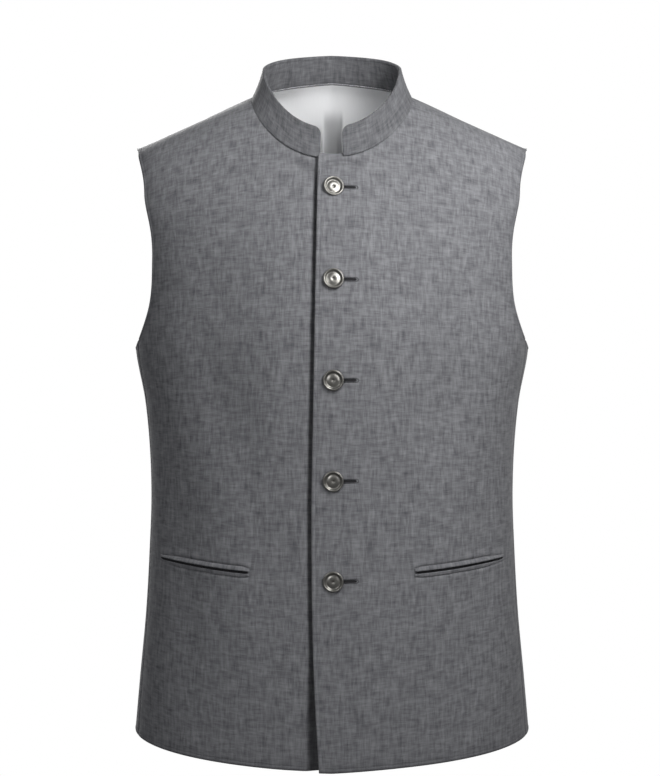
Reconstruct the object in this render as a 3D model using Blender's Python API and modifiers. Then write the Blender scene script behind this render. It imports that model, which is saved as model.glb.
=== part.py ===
"""Sleeveless band-collar waistcoat, hollow and in its worn form.

Two fronts that overlap and button at the centre, a plain back, a standing
collar open at the throat, double-jetted hip pockets and a back lining.

Frame: metres, +Z up, front towards -Y, wearer's left towards +X. The origin
is midway between the two points where the shoulder seams meet the collar.

The fronts and the back are cut from one torso surface. A place on it has two
coordinates: `across`, the length of cloth from the centre front (or from the
centre back), and `height`, which is 0 along the hem and SHOULDER_HEIGHT along
the shoulder seam. The tables give the surface's level sections, and each
piece is an outline in those two coordinates.
"""

import math

import bmesh
import bpy
import numpy as np
from mathutils import Matrix, Vector
from mathutils.geometry import delaunay_2d_cdt

MM = 0.001

# ---------------------------------------------------------------- cloth
SEAM_GAP = 0.3 * MM
SHOULDER_SEAM_INSET = 0.35 * MM  # in height, off each side of the seam
WALL = 2.0 * MM  # outer cloth, interlining and facing, fused
LINING_WALL = 1.0 * MM
LINING_CLEARANCE = 0.4 * MM  # behind the back's inner face
COLLAR_WALL = 3.0 * MM
MESH_STEP = 26 * MM  # spacing of a panel's inner points
ROW_SHARE = 0.9  # height between their rows, as a share of that spacing
RIM_SHARE = 0.55  # how near the outline they come, as a share of it
EDGE_STEP = 17 * MM  # spacing of the points along a panel's outline
NORMAL_STEP = 0.5 * MM  # step that finds the slope of the cloth
FILL_TOLERANCE = 1e-7
CURVE_STEPS = 64  # straight pieces that measure a section's length
FINE_RUN = 81  # points of a curved run before it is spaced evenly
SEAM_TOP_STEPS = 2001  # heights tried for the top of the side seam
CORNER_POINTS = 4
SHARP_ANGLE = math.radians(50)

# ---------------------------------------------------------------- torso
SHOULDER_HEIGHT = 0.710
UNDERARM_HEIGHT = 0.414
NECK_FRONT_HEIGHT = 0.602
NECK_BACK_HEIGHT = 0.662
NECK_HALF_WIDTH = 87 * MM  # along the shoulder line, from the centre

# Half sections, in millimetres. Each runs level from the centre (x = 0),
# turns at the two handles and ends at the side of the body.
SECTION_COLUMNS = (
    "height",  # metres above the hem, along the cloth
    "centre_y",
    "centre_z",
    "inner_x",  # handle beside the centre
    "inner_z",
    "outer_x",  # handle beside the side
    "outer_y",
    "outer_z",
    "side_x",
    "side_y",
    "side_z",
)
FRONT_SECTIONS = (
    (0.000, -124, -716, 125, -711, 214, -68, -699, 214.2, 2, -686),
    (0.060, -123, -650, 124, -648, 209, -68, -636, 209.0, 2, -627),
    (0.130, -121, -574, 121, -573, 202, -66, -561, 202.6, 2, -557),
    (0.195, -118, -503, 119, -503, 198, -65, -495, 199.0, 2, -492),
    (0.260, -117, -432, 118, -432, 197, -64, -428, 197.0, 2, -427),
    (0.355, -120, -328, 124, -328, 203, -64, -329, 203.6, 3, -330),
    (0.414, -121, -263, 130, -263, 214, -64, -267, 214.2, 4, -271),
    (0.460, -116, -213, 132, -214, 213, -62, -222, 213.5, 4, -228),
    (0.505, -107, -166, 132, -168, 217, -62, -178, 214.5, 3, -185),
    (0.600, -66, -70, 112, -72, 208, -66, -103, 211.0, -30, -112),
    (0.655, -34, -16, 80, -18, 189, -46, -52, 214.6, -22, -70),
    (0.710, 0, 24, 50, 25, 130, 0, -22, 212.2, 0, -56),
)
BACK_SECTIONS = (
    (0.000, 114, -694, 125, -694, 214, 68, -683, 214.2, 2, -686),
    (0.060, 111, -635, 124, -635, 209, 67, -629, 209.0, 2, -627),
    (0.130, 105, -560, 121, -560, 202, 64, -558, 202.6, 2, -557),
    (0.195, 98, -487, 119, -487, 198, 60, -491, 199.0, 2, -492),
    (0.260, 94, -410, 118, -410, 197, 58, -422, 197.0, 2, -427),
    (0.355, 103, -296, 124, -296, 203, 62, -318, 203.6, 3, -330),
    (0.414, 110, -226, 130, -226, 214, 66, -256, 214.2, 4, -271),
    (0.460, 112, -174, 134, -174, 213, 68, -212, 213.5, 4, -228),
    (0.505, 112, -122, 134, -122, 217, 70, -166, 214.5, 3, -185),
    (0.600, 92, -34, 112, -36, 208, 74, -90, 209.0, 40, -106),
    (0.655, 56, 20, 80, 15, 189, 50, -46, 214.6, 27, -68),
    (0.710, 0, 24, 50, 25, 130, 0, -22, 212.2, 0, -56),
)

# Seen from the side, each armhole is an oval about the plane y = 0. It is
# squarer below than above, and deeper behind than in front.
ARMHOLE_TOP = -56 * MM
ARMHOLE_BOTTOM = -271 * MM
ARMHOLE_FRONT_DEPTH = 51 * MM
ARMHOLE_BACK_DEPTH = 60 * MM
ARMHOLE_TOP_POWER = 2.4
ARMHOLE_BOTTOM_POWER = 2.9
ARMHOLE_ROUNDING = 0.4545
ARMHOLE_FADE = 0.68  # from this height up, its edges close to the shoulder tip
# The side seam stays forward of the side by this much, in millimetres.
SIDE_SEAM_COLUMNS = ("height", "forward")
SIDE_SEAM = (
    (0.00, 28),
    (0.10, 22),
    (0.26, 12),
    (0.35, 18),
    (0.43, 30),
)

# ---------------------------------------------------------------- closing
# How far each front reaches past the centre line, in millimetres.
OVER_FRONT_COLUMNS = ("height", "reach")
OVER_FRONT_EDGE = (
    (0.00, 13.5),
    (0.08, 18.5),
    (0.22, 21.4),
    (0.38, 19.0),
    (0.52, 16.5),
    (0.66, 14.0),
)
UNDER_FRONT_REACH = 17 * MM
OVERLAP_CLEARANCE = 0.9 * MM  # between the two fronts where they overlap
OVERLAP_NEAR = 22 * MM  # the over front stands clear as far as here
OVERLAP_FAR = 85 * MM  # and has come down to the torso surface here
FRONT_CORNER = 5 * MM  # rounding of a front's top corner
OVER_EDGE_ROLL = 1.2 * MM  # extra stand of the over front's free edge
ROLL_START = 6 * MM  # the free edge starts to lift here
ROLL_END = -20 * MM  # and stands its full extra here

BUTTON_COUNT = 5
BUTTON_TOP_HEIGHT = 0.565
BUTTON_PITCH = 0.0958  # in height
BUTTON_ACROSS = 1.2 * MM
BUTTON_RADIUS = 11.0 * MM
BUTTON_SEGMENTS = 20
BUTTON_MERGE = 0.01 * MM  # joins the turned profile on its axis
# Half section, from the dish's middle over the rim to the foot of the shank.
# Radius and height in shares of the button's radius, height 0 at the cloth.
BUTTON_PROFILE = (
    (0.00, 0.235),
    (0.30, 0.225),
    (0.58, 0.250),
    (0.74, 0.350),
    (0.84, 0.395),
    (0.94, 0.360),
    (1.00, 0.270),
    (0.96, 0.190),
    (0.80, 0.130),
    (0.26, 0.110),
    (0.24, 0.030),
    (0.00, 0.030),
)

# ---------------------------------------------------------------- pockets
POCKET_INNER = (87 * MM, 0.188)  # across, height of the slit's inner end
POCKET_OUTER = (205 * MM, 0.193)
JET_WIDTH = 6.0 * MM
JET_WALL = 1.4 * MM
JET_SLIT = 1.0 * MM
JET_CLEARANCE = 0.45 * MM  # off the panel's smooth surface
JET_STATIONS = 11
# Half-rounded section: share of the width above its lower edge, share of the
# wall above the cloth.
JET_PROFILE = ((0, 0), (1, 0), (1, 0.6), (0.75, 1), (0.25, 1), (0, 0.6))

# ---------------------------------------------------------------- collar
COLLAR_GAP_LEFT = 11.0 * MM  # from the centre line to the collar's left end
COLLAR_GAP_RIGHT = 12.2 * MM
COLLAR_END_RADIUS = 8 * MM
COLLAR_STATIONS = 51
COLLAR_BOW = 1.0 * MM  # outward bow of the band, half way up
COLLAR_BOW_SHARES = (0, 0.3, 0.6, 0.9)  # of its height, where it is measured
COLLAR_ROLL_POINTS = 4
COLLAR_ROLL_START = 0.35  # radians round from the band's face
COLLAR_FOOT_FRONT = 0.8 * MM  # clear of the seam line at the throat
COLLAR_FOOT_BACK = 1.2 * MM  # and at the nape
# Lean towards the neck and rise of the band, in millimetres.
COLLAR_COLUMNS = ("around", "lean", "rise")  # 0 at the throat, 1 at the nape
COLLAR_RISE = (
    (0.00, 14.0, 29.0),
    (0.20, 13.5, 30.5),
    (0.45, 12.0, 31.0),
    (0.65, 11.0, 31.0),
    (1.00, 6.0, 29.0),
)

# ---------------------------------------------------------------- drape
# Soft folds in the worn cloth. Each row holds the across and height where the
# fold starts, the across and height where it ends, then its half width and its
# depth in millimetres, positive outwards.
FRONT_FOLDS = (
    (0.165, 0.455, 0.105, 0.300, 26, -2.2),
    (0.120, 0.300, 0.095, 0.120, 30, 2.0),
    (0.185, 0.300, 0.150, 0.060, 24, -1.8),
    (0.060, 0.460, 0.070, 0.260, 24, 1.4),
)
BACK_FOLDS = (
    (0.020, 0.420, 0.030, 0.160, 34, -3.0),
    (0.110, 0.460, 0.090, 0.240, 30, 2.4),
    (0.150, 0.260, 0.130, 0.040, 30, -2.4),
)

# How a fold fades in from its start and out at its end, in shares of its run.
FOLD_ENDS = (-0.3, 0.35, 0.65, 1.3)
# Folds are fading out between these, towards the hem, the shoulder and the
# side, so that the pieces meet along plain seams.
FOLD_HEM = (0.0, 0.05)
FOLD_SHOULDER = (0.52, 0.44)
FOLD_SIDE = (0.225, 0.185)

# Base colour, roughness and metal share of each material.
MATERIALS = {
    "cloth": ((0.150, 0.152, 0.163, 1.0), 0.9, 0.0),
    "lining": ((0.620, 0.625, 0.650, 1.0), 0.4, 0.0),
    "button": ((0.300, 0.280, 0.250, 1.0), 0.25, 0.8),
}


# ---------------------------------------------------------------- helpers
def column(rows, names, name):
    return np.array([row[names.index(name)] for row in rows], float)


def smooth(knots, values, at):
    """A smooth curve through a table's values, read at any height."""
    knots, values = np.asarray(knots), np.asarray(values, float)
    at = np.clip(at, knots[0], knots[-1])
    slopes = np.gradient(values, knots, axis=0)
    k = np.clip(np.searchsorted(knots, at, side="right") - 1, 0, len(knots) - 2)
    step = knots[k + 1] - knots[k]
    t = (at - knots[k]) / step
    if values.ndim > 1:
        t, step = (v.reshape(v.shape + (1,) * (values.ndim - 1)) for v in (t, step))
    return (
        (2 * t**3 - 3 * t**2 + 1) * values[k]
        + (t**3 - 2 * t**2 + t) * step * slopes[k]
        + (3 * t**2 - 2 * t**3) * values[k + 1]
        + (t**3 - t**2) * step * slopes[k + 1]
    )


def ramp(value, low, high):
    """0 below low, 1 above high, smooth between. Works downwards too."""
    t = np.clip((value - low) / (high - low), 0.0, 1.0)
    return t * t * (3 - 2 * t)


def section_points(rows):
    """The four control points of each section of a table, in metres."""
    pick = {name: column(rows, SECTION_COLUMNS, name) for name in SECTION_COLUMNS}
    zero = np.zeros(len(rows))
    corners = (
        (zero, pick["centre_y"], pick["centre_z"]),
        (pick["inner_x"], pick["centre_y"], pick["inner_z"]),
        (pick["outer_x"], pick["outer_y"], pick["outer_z"]),
        (pick["side_x"], pick["side_y"], pick["side_z"]),
    )
    return np.stack([np.stack(c, axis=1) for c in corners], axis=1) * MM


def mirrored_past_shoulder(heights, points, other):
    """Adds one section past the shoulder line, so that cloth rolls over it."""
    heights = np.append(heights, 2 * heights[-1] - heights[-2])
    return heights, np.concatenate([points, other[-2:-1]])


def torso_half(rows, other_rows):
    return mirrored_past_shoulder(
        column(rows, SECTION_COLUMNS, "height"),
        section_points(rows),
        section_points(other_rows),
    )


FRONT_HALF = torso_half(FRONT_SECTIONS, BACK_SECTIONS)
BACK_HALF = torso_half(BACK_SECTIONS, FRONT_SECTIONS)


def bezier(corners, t):
    t = t[..., None]
    weights = ((1 - t) ** 3, 3 * t * (1 - t) ** 2, 3 * t * t * (1 - t), t**3)
    return sum(w * corners[..., i, :] for i, w in enumerate(weights))


def section_lengths(corners):
    """Length along each section at even steps of its curve."""
    steps = np.linspace(0, 1, CURVE_STEPS + 1)
    points = bezier(corners[:, None], np.broadcast_to(steps, (len(corners), len(steps))))
    pieces = np.linalg.norm(np.diff(points, axis=1), axis=2)
    return np.concatenate([np.zeros((len(corners), 1)), np.cumsum(pieces, axis=1)], axis=1)


def half_girth(half, height):
    """Length of cloth from the centre to the side of the body."""
    height = np.atleast_1d(np.asarray(height, float))
    return section_lengths(smooth(*half, height))[:, -1]


def along_section(half, across, height):
    corners = smooth(*half, height)
    lengths = section_lengths(corners)
    k = np.clip((lengths < across[:, None]).sum(axis=1) - 1, 0, CURVE_STEPS - 1)
    row = np.arange(len(across))
    start, end = lengths[row, k], lengths[row, k + 1]
    t = (k + (across - start) / (end - start)) / CURVE_STEPS
    return bezier(corners, t)


def torso(across, height, from_back=False):
    """Points of the torso surface. `across` is signed, positive to +X."""
    across = np.asarray(across, float)
    height = np.asarray(height, float)
    near, far = (BACK_HALF, FRONT_HALF) if from_back else (FRONT_HALF, BACK_HALF)
    distance = np.abs(across)
    near_girth, far_girth = half_girth(near, height), half_girth(far, height)
    beyond = distance > near_girth
    points = along_section(near, np.minimum(distance, near_girth), height)
    if beyond.any():
        rest = (near_girth + far_girth - distance)[beyond]
        points[beyond] = along_section(far, rest, height[beyond])
    points[:, 0] *= np.where(across < 0, -1, 1)
    return points


def drape(folds, across, height):
    """Outward shift of the soft folds at each place."""
    across = np.abs(across)
    shift = np.zeros(len(across))
    for a0, h0, a1, h1, width, depth in folds:
        run = np.array([a1 - a0, h1 - h0])
        length = np.hypot(*run)
        run /= length
        along = (across - a0) * run[0] + (height - h0) * run[1]
        aside = (across - a0) * run[1] - (height - h0) * run[0]
        start, full, fading, end = (share * length for share in FOLD_ENDS)
        ends = ramp(along, start, full) * ramp(along, end, fading)
        shift += depth * MM * ends * np.exp(-((aside / (width * MM)) ** 2))
    shift *= ramp(height, *FOLD_HEM) * ramp(height, *FOLD_SHOULDER)
    return shift * ramp(across, *FOLD_SIDE)


def normals_of(surface, across, height):
    """Unit normals, from steps towards the centre line and up."""
    inward = np.where(across < 0, NORMAL_STEP, -NORMAL_STEP)
    along = surface(across + inward, height) - surface(across, height)
    along *= np.sign(inward)[:, None]
    up = surface(across, height + NORMAL_STEP) - surface(across, height - NORMAL_STEP)
    normal = np.cross(along, up)
    return normal / np.linalg.norm(normal, axis=1, keepdims=True)


def overlap_lift(across):
    """Outward shift of the over front where it covers the under front."""
    stand = WALL + OVERLAP_CLEARANCE
    lift = stand * ramp(across, OVERLAP_FAR, OVERLAP_NEAR)
    return lift + OVER_EDGE_ROLL * ramp(across, ROLL_START, ROLL_END)


class Cloth:
    """One side's cloth: its surface, and points moved out from it."""

    def __init__(self, from_back, folds, lift=None):
        self.from_back, self.folds, self.lift = from_back, folds, lift

    def bare(self, across, height):
        return torso(across, height, self.from_back)

    def points(self, across, height, out=0.0):
        across, height = np.asarray(across, float), np.asarray(height, float)
        facing = -1 if self.from_back else 1
        normal = facing * normals_of(self.bare, across, height)
        shift = out + drape(self.folds, across, height)
        if self.lift is not None:
            shift = shift + self.lift(across)
        return self.bare(across, height) + normal * np.reshape(shift, (-1, 1))


OVER_CLOTH = Cloth(False, FRONT_FOLDS, overlap_lift)
UNDER_CLOTH = Cloth(False, FRONT_FOLDS)
BACK_CLOTH = Cloth(True, BACK_FOLDS)


# ---------------------------------------------------------------- outlines
def table_curve(rows, names, name, at):
    """One of a table's millimetre columns as a smooth curve over its first."""
    knots = column(rows, names, names[0])
    return smooth(knots, column(rows, names, name) * MM, at)


def armhole_oval(z, depth):
    """Distance of the oval's edge from the plane y = 0 at a level."""
    middle = (ARMHOLE_TOP + ARMHOLE_BOTTOM) / 2
    share = np.clip(np.abs(z - middle) / (ARMHOLE_TOP - middle), 0, 1)
    power = np.where(z < middle, ARMHOLE_BOTTOM_POWER, ARMHOLE_TOP_POWER)
    return depth * (1 - share**power) ** ARMHOLE_ROUNDING


def armhole_depth(from_back, height):
    """Length of cloth cut away from the side of the body back to the oval."""
    half, facing, depth = (
        (BACK_HALF, 1, ARMHOLE_BACK_DEPTH) if from_back else (FRONT_HALF, -1, ARMHOLE_FRONT_DEPTH)
    )
    corners = smooth(*half, np.asarray(height, float))
    steps = np.linspace(0, 1, CURVE_STEPS + 1)
    points = bezier(corners[:, None], np.broadcast_to(steps, (len(corners), len(steps))))
    lengths = section_lengths(corners)
    clear = facing * points[..., 1] - armhole_oval(points[..., 2], depth)
    last = CURVE_STEPS - np.argmax(clear[:, ::-1] > 0, axis=1)
    row, following = np.arange(len(corners)), np.minimum(last + 1, CURVE_STEPS)
    fall = clear[row, last] - clear[row, following]
    share = np.where(last < CURVE_STEPS, clear[row, last] / np.where(fall > 0, fall, 1), 0)
    at = lengths[row, last] + share * (lengths[row, following] - lengths[row, last])
    return (lengths[:, -1] - at) * ramp(height, SHOULDER_HEIGHT, ARMHOLE_FADE)


def seam_forward(height):
    return table_curve(SIDE_SEAM, SIDE_SEAM_COLUMNS, "forward", height)


def front_side(height):
    """Distance from the centre front to the side of the body."""
    return half_girth(FRONT_HALF, height)


def back_side(height):
    return half_girth(BACK_HALF, height)


def seam_top():
    """Height at which the side seam runs out into the armhole."""
    heights = np.linspace(UNDERARM_HEIGHT, SHOULDER_HEIGHT, SEAM_TOP_STEPS)
    reached = armhole_depth(False, heights) >= seam_forward(heights)
    return heights[np.argmax(reached)]


def over_edge(height):
    return -table_curve(OVER_FRONT_EDGE, OVER_FRONT_COLUMNS, "reach", height)


def under_edge(height):
    return np.full(np.shape(height), -UNDER_FRONT_REACH)


def neckline(across, lowest):
    """Height of a neckline that drops from the shoulder seam to `lowest`."""
    share = np.clip(np.abs(across) / NECK_HALF_WIDTH, 0, 1)
    return SHOULDER_HEIGHT - (SHOULDER_HEIGHT - lowest) * np.sqrt(1 - share**2)


def neckline_run(lowest, start, count=FINE_RUN):
    """A neckline from `start` across to the shoulder seam."""
    turn = np.linspace(np.arcsin(start / NECK_HALF_WIDTH), math.pi / 2, count)
    across = NECK_HALF_WIDTH * np.sin(turn)
    return np.stack([across, neckline(across, lowest)], axis=1)


def armhole_run(side, from_back, low):
    """One edge of the armhole, from `low` up to the shoulder seam."""
    turn = np.linspace(0, math.pi / 2, FINE_RUN)
    height = low + (SHOULDER_HEIGHT - low) * np.sin(turn) ** 2
    return np.stack([side(height) - armhole_depth(from_back, height), height], axis=1)


def straight(start, end):
    return np.array([start, end], float)


def resample(run, spacing):
    """Evenly spaced points along a run, both ends kept."""
    lengths = np.append(0, np.cumsum(np.linalg.norm(np.diff(run, axis=0), axis=1)))
    count = max(2, int(round(lengths[-1] / spacing)) + 1)
    at = np.linspace(0, lengths[-1], count)
    return np.stack([np.interp(at, lengths, run[:, i]) for i in range(2)], axis=1)


def joined(runs):
    """One outline from runs that meet end to end, each without its last point."""
    return np.concatenate([run[:-1] for run in runs])


def cut_corner(run, following, radius):
    """Rounds the corner where one run ends and the next one starts."""
    corner = run[-1]
    back = (run[-2] - corner) / np.linalg.norm(run[-2] - corner)
    ahead = (following[1] - corner) / np.linalg.norm(following[1] - corner)
    turn = np.linspace(0, math.pi / 2, CORNER_POINTS)[:, None]
    arc = corner + radius * ((1 - np.sin(turn)) * back + (1 - np.cos(turn)) * ahead)
    return np.concatenate([run[:-1], arc]), np.concatenate([arc[-1:], following[1:]])


def side_seam_run(seam, spacing):
    """Both sides of a side seam have their points at the same heights."""
    heights = np.linspace(0.0, seam_top(), int(seam_top() / spacing) + 1)
    return np.stack([seam(heights), heights], axis=1)


def shoulder_seam_run(spacing):
    """From the shoulder tip to the neck, a hair below the seam line."""
    height = SHOULDER_HEIGHT - SHOULDER_SEAM_INSET
    tip = min(front_side(height)[0], back_side(height)[0]) - SEAM_GAP
    count = int((tip - NECK_HALF_WIDTH) / spacing) + 1
    across = np.linspace(tip, NECK_HALF_WIDTH, count)
    return np.stack([across, np.full(count, height)], axis=1)


def front_outline(edge, spacing):
    """Hem, side seam, armhole, shoulder seam, neckline and front edge."""

    def seam(height):
        return front_side(height) - seam_forward(height) - SEAM_GAP / 2

    side = side_seam_run(seam, spacing)
    shoulder = shoulder_seam_run(spacing)
    armhole = resample(armhole_run(front_side, False, side[-1, 1]), spacing)
    armhole[0], armhole[-1] = side[-1], shoulder[0]
    neck_start = float(edge(np.array([NECK_FRONT_HEIGHT]))[0])
    neck = resample(neckline_run(NECK_FRONT_HEIGHT, neck_start), spacing)
    neck[-1] = shoulder[-1]
    heights = np.linspace(0.0, neck[0, 1], int(neck[0, 1] / spacing) + 1)
    front = np.stack([edge(heights), heights], axis=1)
    front, neck = cut_corner(front, neck, FRONT_CORNER)
    hem = resample(straight(front[0], side[0]), spacing)
    return joined((hem, side, armhole, shoulder, neck[::-1], front[::-1]))


def back_outline(spacing):
    """The same runs on both sides of the centre back."""

    def seam(height):
        return back_side(height) + seam_forward(height) - SEAM_GAP / 2

    side = side_seam_run(seam, spacing)
    shoulder = shoulder_seam_run(spacing)
    turn = np.linspace(0, math.pi / 2, FINE_RUN)
    low = UNDERARM_HEIGHT + (seam_top() - UNDERARM_HEIGHT) * np.cos(turn) ** 2
    under = np.stack([back_side(low) + armhole_depth(False, low), low], axis=1)
    armhole = armhole_run(back_side, True, UNDERARM_HEIGHT)
    armhole = resample(np.concatenate([under, armhole[1:]]), spacing)
    armhole[0], armhole[-1] = side[-1], shoulder[0]
    neck = resample(neckline_run(NECK_BACK_HEIGHT, 0.0), spacing)
    neck[-1] = shoulder[-1]
    hem = resample(straight((0.0, 0.0), side[0]), spacing)
    half = joined((hem, side, armhole, shoulder, neck[::-1]))
    nape = np.array([[0.0, NECK_BACK_HEIGHT]])
    return np.concatenate([half, nape, half[1:][::-1] * (-1, 1)])


# ---------------------------------------------------------------- meshes
def inside(points, outline):
    """Which points lie inside a closed outline."""
    found = np.zeros(len(points), bool)
    for (x0, y0), (x1, y1) in zip(outline, np.roll(outline, -1, axis=0)):
        crosses = (y0 > points[:, 1]) != (y1 > points[:, 1])
        with np.errstate(divide="ignore", invalid="ignore"):
            at = x0 + (points[:, 1] - y0) * (x1 - x0) / (y1 - y0)
        found ^= crosses & (points[:, 0] < at)
    return found


def pattern_mesh(outline, step):
    """Triangles that fill an outline in pattern coordinates."""
    low, high = outline.min(axis=0), outline.max(axis=0)
    across = np.arange(low[0] + step / 2, high[0], step)
    rows = np.arange(low[1] + step / 2, high[1], step * ROW_SHARE)
    grid = np.array([(a, h) for i, h in enumerate(rows) for a in across + (i % 2) * step / 2])
    nearest = np.linalg.norm(grid[:, None] - outline[None], axis=2).min(axis=1)
    grid = grid[inside(grid, outline) & (nearest > RIM_SHARE * step)]
    flat = np.concatenate([outline, grid])
    loop = list(range(len(outline)))
    inner_faces_only = 1
    made = delaunay_2d_cdt([Vector(p) for p in flat], [], [loop], inner_faces_only, FILL_TOLERANCE)
    points = np.array([tuple(p) for p in made[0]])
    faces = [list(face) for face in made[2]]
    return points, faces


def rim_faces(flat, faces):
    """Two triangles for each rim edge, split the same way on both sides of a
    seam: from the outer face's lower end to the inner face's upper end."""
    edges = {(f[i], f[(i + 1) % len(f)]) for f in faces for i in range(len(f))}
    count, made = len(flat), []
    for a, b in sorted(edge for edge in edges if (edge[1], edge[0]) not in edges):
        if (flat[a, 1], abs(flat[a, 0])) > (flat[b, 1], abs(flat[b, 0])):
            made += [[b, a, a + count], [b, a + count, b + count]]
        else:
            made += [[b, a, b + count], [a, a + count, b + count]]
    return made


def material(name):
    found = bpy.data.materials.get(name)
    if found:
        return found
    made = bpy.data.materials.new(name)
    made.use_nodes = True
    shader = made.node_tree.nodes["Principled BSDF"]
    colour, roughness, metal = MATERIALS[name]
    shader.inputs["Base Color"].default_value = colour
    shader.inputs["Roughness"].default_value = roughness
    shader.inputs["Metallic"].default_value = metal
    return made


def add_object(name, points, faces, material_name, collection):
    mesh = bpy.data.meshes.new(name)
    mesh.from_pydata([tuple(map(float, p)) for p in points], [], faces)
    shape = bmesh.new()
    shape.from_mesh(mesh)
    bmesh.ops.recalc_face_normals(shape, faces=shape.faces)
    shape.to_mesh(mesh)
    shape.free()
    mesh.shade_smooth()
    mesh.set_sharp_from_angle(angle=SHARP_ANGLE)
    mesh.materials.append(material(material_name))
    made = bpy.data.objects.new(name, mesh)
    collection.objects.link(made)
    return made


def swept_faces(stations, size):
    """Faces of a closed section of `size` points, swept along its stations."""
    last = (stations - 1) * size
    faces = [list(range(size)), [last + j for j in reversed(range(size))]]
    for start in range(0, last, size):
        for j in range(size):
            k = (j + 1) % size
            faces.append([start + j, start + size + j, start + size + k, start + k])
    return faces


def cloth_wall(name, cloth, pattern, material_name, collection, wall=WALL, sunk=0.0):
    """A panel as a closed wall, `sunk` below the torso surface."""
    flat, faces = pattern
    outer = cloth.points(flat[:, 0], flat[:, 1], -sunk)
    inner = cloth.points(flat[:, 0], flat[:, 1], -sunk - wall)
    walls = faces + [[i + len(flat) for i in reversed(face)] for face in faces]
    walls += rim_faces(flat, faces)
    return add_object(name, np.concatenate([outer, inner]), walls, material_name, collection)


# ---------------------------------------------------------------- pieces
def add_fronts(collection):
    over = pattern_mesh(front_outline(over_edge, EDGE_STEP), MESH_STEP)
    cloth_wall("front_left", OVER_CLOTH, over, "cloth", collection)
    under = pattern_mesh(front_outline(under_edge, EDGE_STEP), MESH_STEP)
    made = cloth_wall("front_right", UNDER_CLOTH, under, "cloth", collection)
    made.data.transform(Matrix.Scale(-1, 4, (1, 0, 0)))
    made.data.flip_normals()


def add_back(collection):
    """The back, and its lining on the same points, moved in."""
    pattern = pattern_mesh(back_outline(EDGE_STEP), MESH_STEP)
    cloth_wall("back", BACK_CLOTH, pattern, "cloth", collection)
    depth = WALL + LINING_CLEARANCE
    cloth_wall("lining_back", BACK_CLOTH, pattern, "lining", collection, LINING_WALL, depth)


def half_ring(cloth, lowest):
    """A neckline from the centre out to the shoulder seam, on +X."""
    run = neckline_run(lowest, 0.0)
    return cloth.points(run[:, 0], run[:, 1])


def collar_seam():
    """Evenly spaced points of the seam under the collar, from its end on -X
    round the nape to its end on +X, and the seam's length."""
    other_side = (-1, 1, 1)
    left = half_ring(OVER_CLOTH, NECK_FRONT_HEIGHT)
    right = half_ring(UNDER_CLOTH, NECK_FRONT_HEIGHT) * other_side
    nape = half_ring(BACK_CLOTH, NECK_BACK_HEIGHT)
    right = right[right[:, 0] < -COLLAR_GAP_RIGHT]
    left = left[left[:, 0] > COLLAR_GAP_LEFT]
    line = np.concatenate([right, nape[::-1][1:] * other_side, nape[1:], left[::-1][1:]])
    lengths = np.append(0, np.cumsum(np.linalg.norm(np.diff(line, axis=0), axis=1)))
    at = np.linspace(0, lengths[-1], COLLAR_STATIONS)
    return np.stack([np.interp(at, lengths, line[:, i]) for i in range(3)], axis=1), lengths[-1]


def unit(vectors):
    return vectors / np.linalg.norm(vectors, axis=1, keepdims=True)


def add_collar(collection):
    seam, length = collar_seam()
    at = np.linspace(0, 1, COLLAR_STATIONS)
    around = 1 - np.abs(2 * at - 1)
    lean, rise = (
        table_curve(COLLAR_RISE, COLLAR_COLUMNS, name, around)[:, None] for name in ("lean", "rise")
    )
    forward = unit(np.gradient(seam, axis=0) * (1, 1, 0))
    inward = np.stack([forward[:, 1], -forward[:, 0], forward[:, 2]], axis=1)
    slant = inward * lean + rise * np.array([0, 0, 1])
    tall = np.linalg.norm(slant, axis=1)
    up = unit(slant)
    outward = unit(np.cross(forward, up))

    short = np.clip(COLLAR_END_RADIUS - np.minimum(at, 1 - at) * length, 0, COLLAR_END_RADIUS)
    tall -= COLLAR_END_RADIUS - np.sqrt(COLLAR_END_RADIUS**2 - short**2)
    towards_nape = np.sin(np.pi * at) ** 2
    foot = COLLAR_FOOT_FRONT + (COLLAR_FOOT_BACK - COLLAR_FOOT_FRONT) * towards_nape

    half = COLLAR_WALL / 2
    bows = [(share, COLLAR_BOW * 4 * share * (1 - share)) for share in COLLAR_BOW_SHARES]
    turns = np.linspace(COLLAR_ROLL_START, math.pi - COLLAR_ROLL_START, COLLAR_ROLL_POINTS)
    rings = []
    for i in range(COLLAR_STATIONS):
        straight_part = tall[i] - half - foot[i]
        outer = [(foot[i] + share * straight_part, bow) for share, bow in bows]
        top = [(tall[i] - half + half * math.sin(t), half * math.cos(t) - half) for t in turns]
        inner = [(rise_at, bow - COLLAR_WALL) for rise_at, bow in reversed(outer)]
        rings.append([seam[i] + up[i] * s + outward[i] * b for s, b in outer + top + inner])
    faces = swept_faces(COLLAR_STATIONS, len(rings[0]))
    add_object("collar", np.concatenate(rings), faces, "cloth", collection)


def add_pocket(side, cloth, collection):
    """The two jets of a hip pocket, above and below its slit."""
    name = "left" if side > 0 else "right"
    start, end = np.array(POCKET_INNER), np.array(POCKET_OUTER)
    run = start + np.linspace(0, 1, JET_STATIONS)[:, None] * (end - start)
    size = len(JET_PROFILE)
    across = np.repeat(run[:, 0], size)
    section = np.tile(np.array(JET_PROFILE), (JET_STATIONS, 1))
    outs = JET_CLEARANCE + section[:, 1] * JET_WALL
    for place, low in (("upper", JET_SLIT / 2), ("lower", -JET_SLIT / 2 - JET_WIDTH)):
        heights = np.repeat(run[:, 1] + low, size) + section[:, 0] * JET_WIDTH
        points = cloth.points(across, heights, outs) * (side, 1, 1)
        faces = swept_faces(JET_STATIONS, size)
        add_object(f"pocket_{name}_{place}_jet", points, faces, "cloth", collection)


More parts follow.
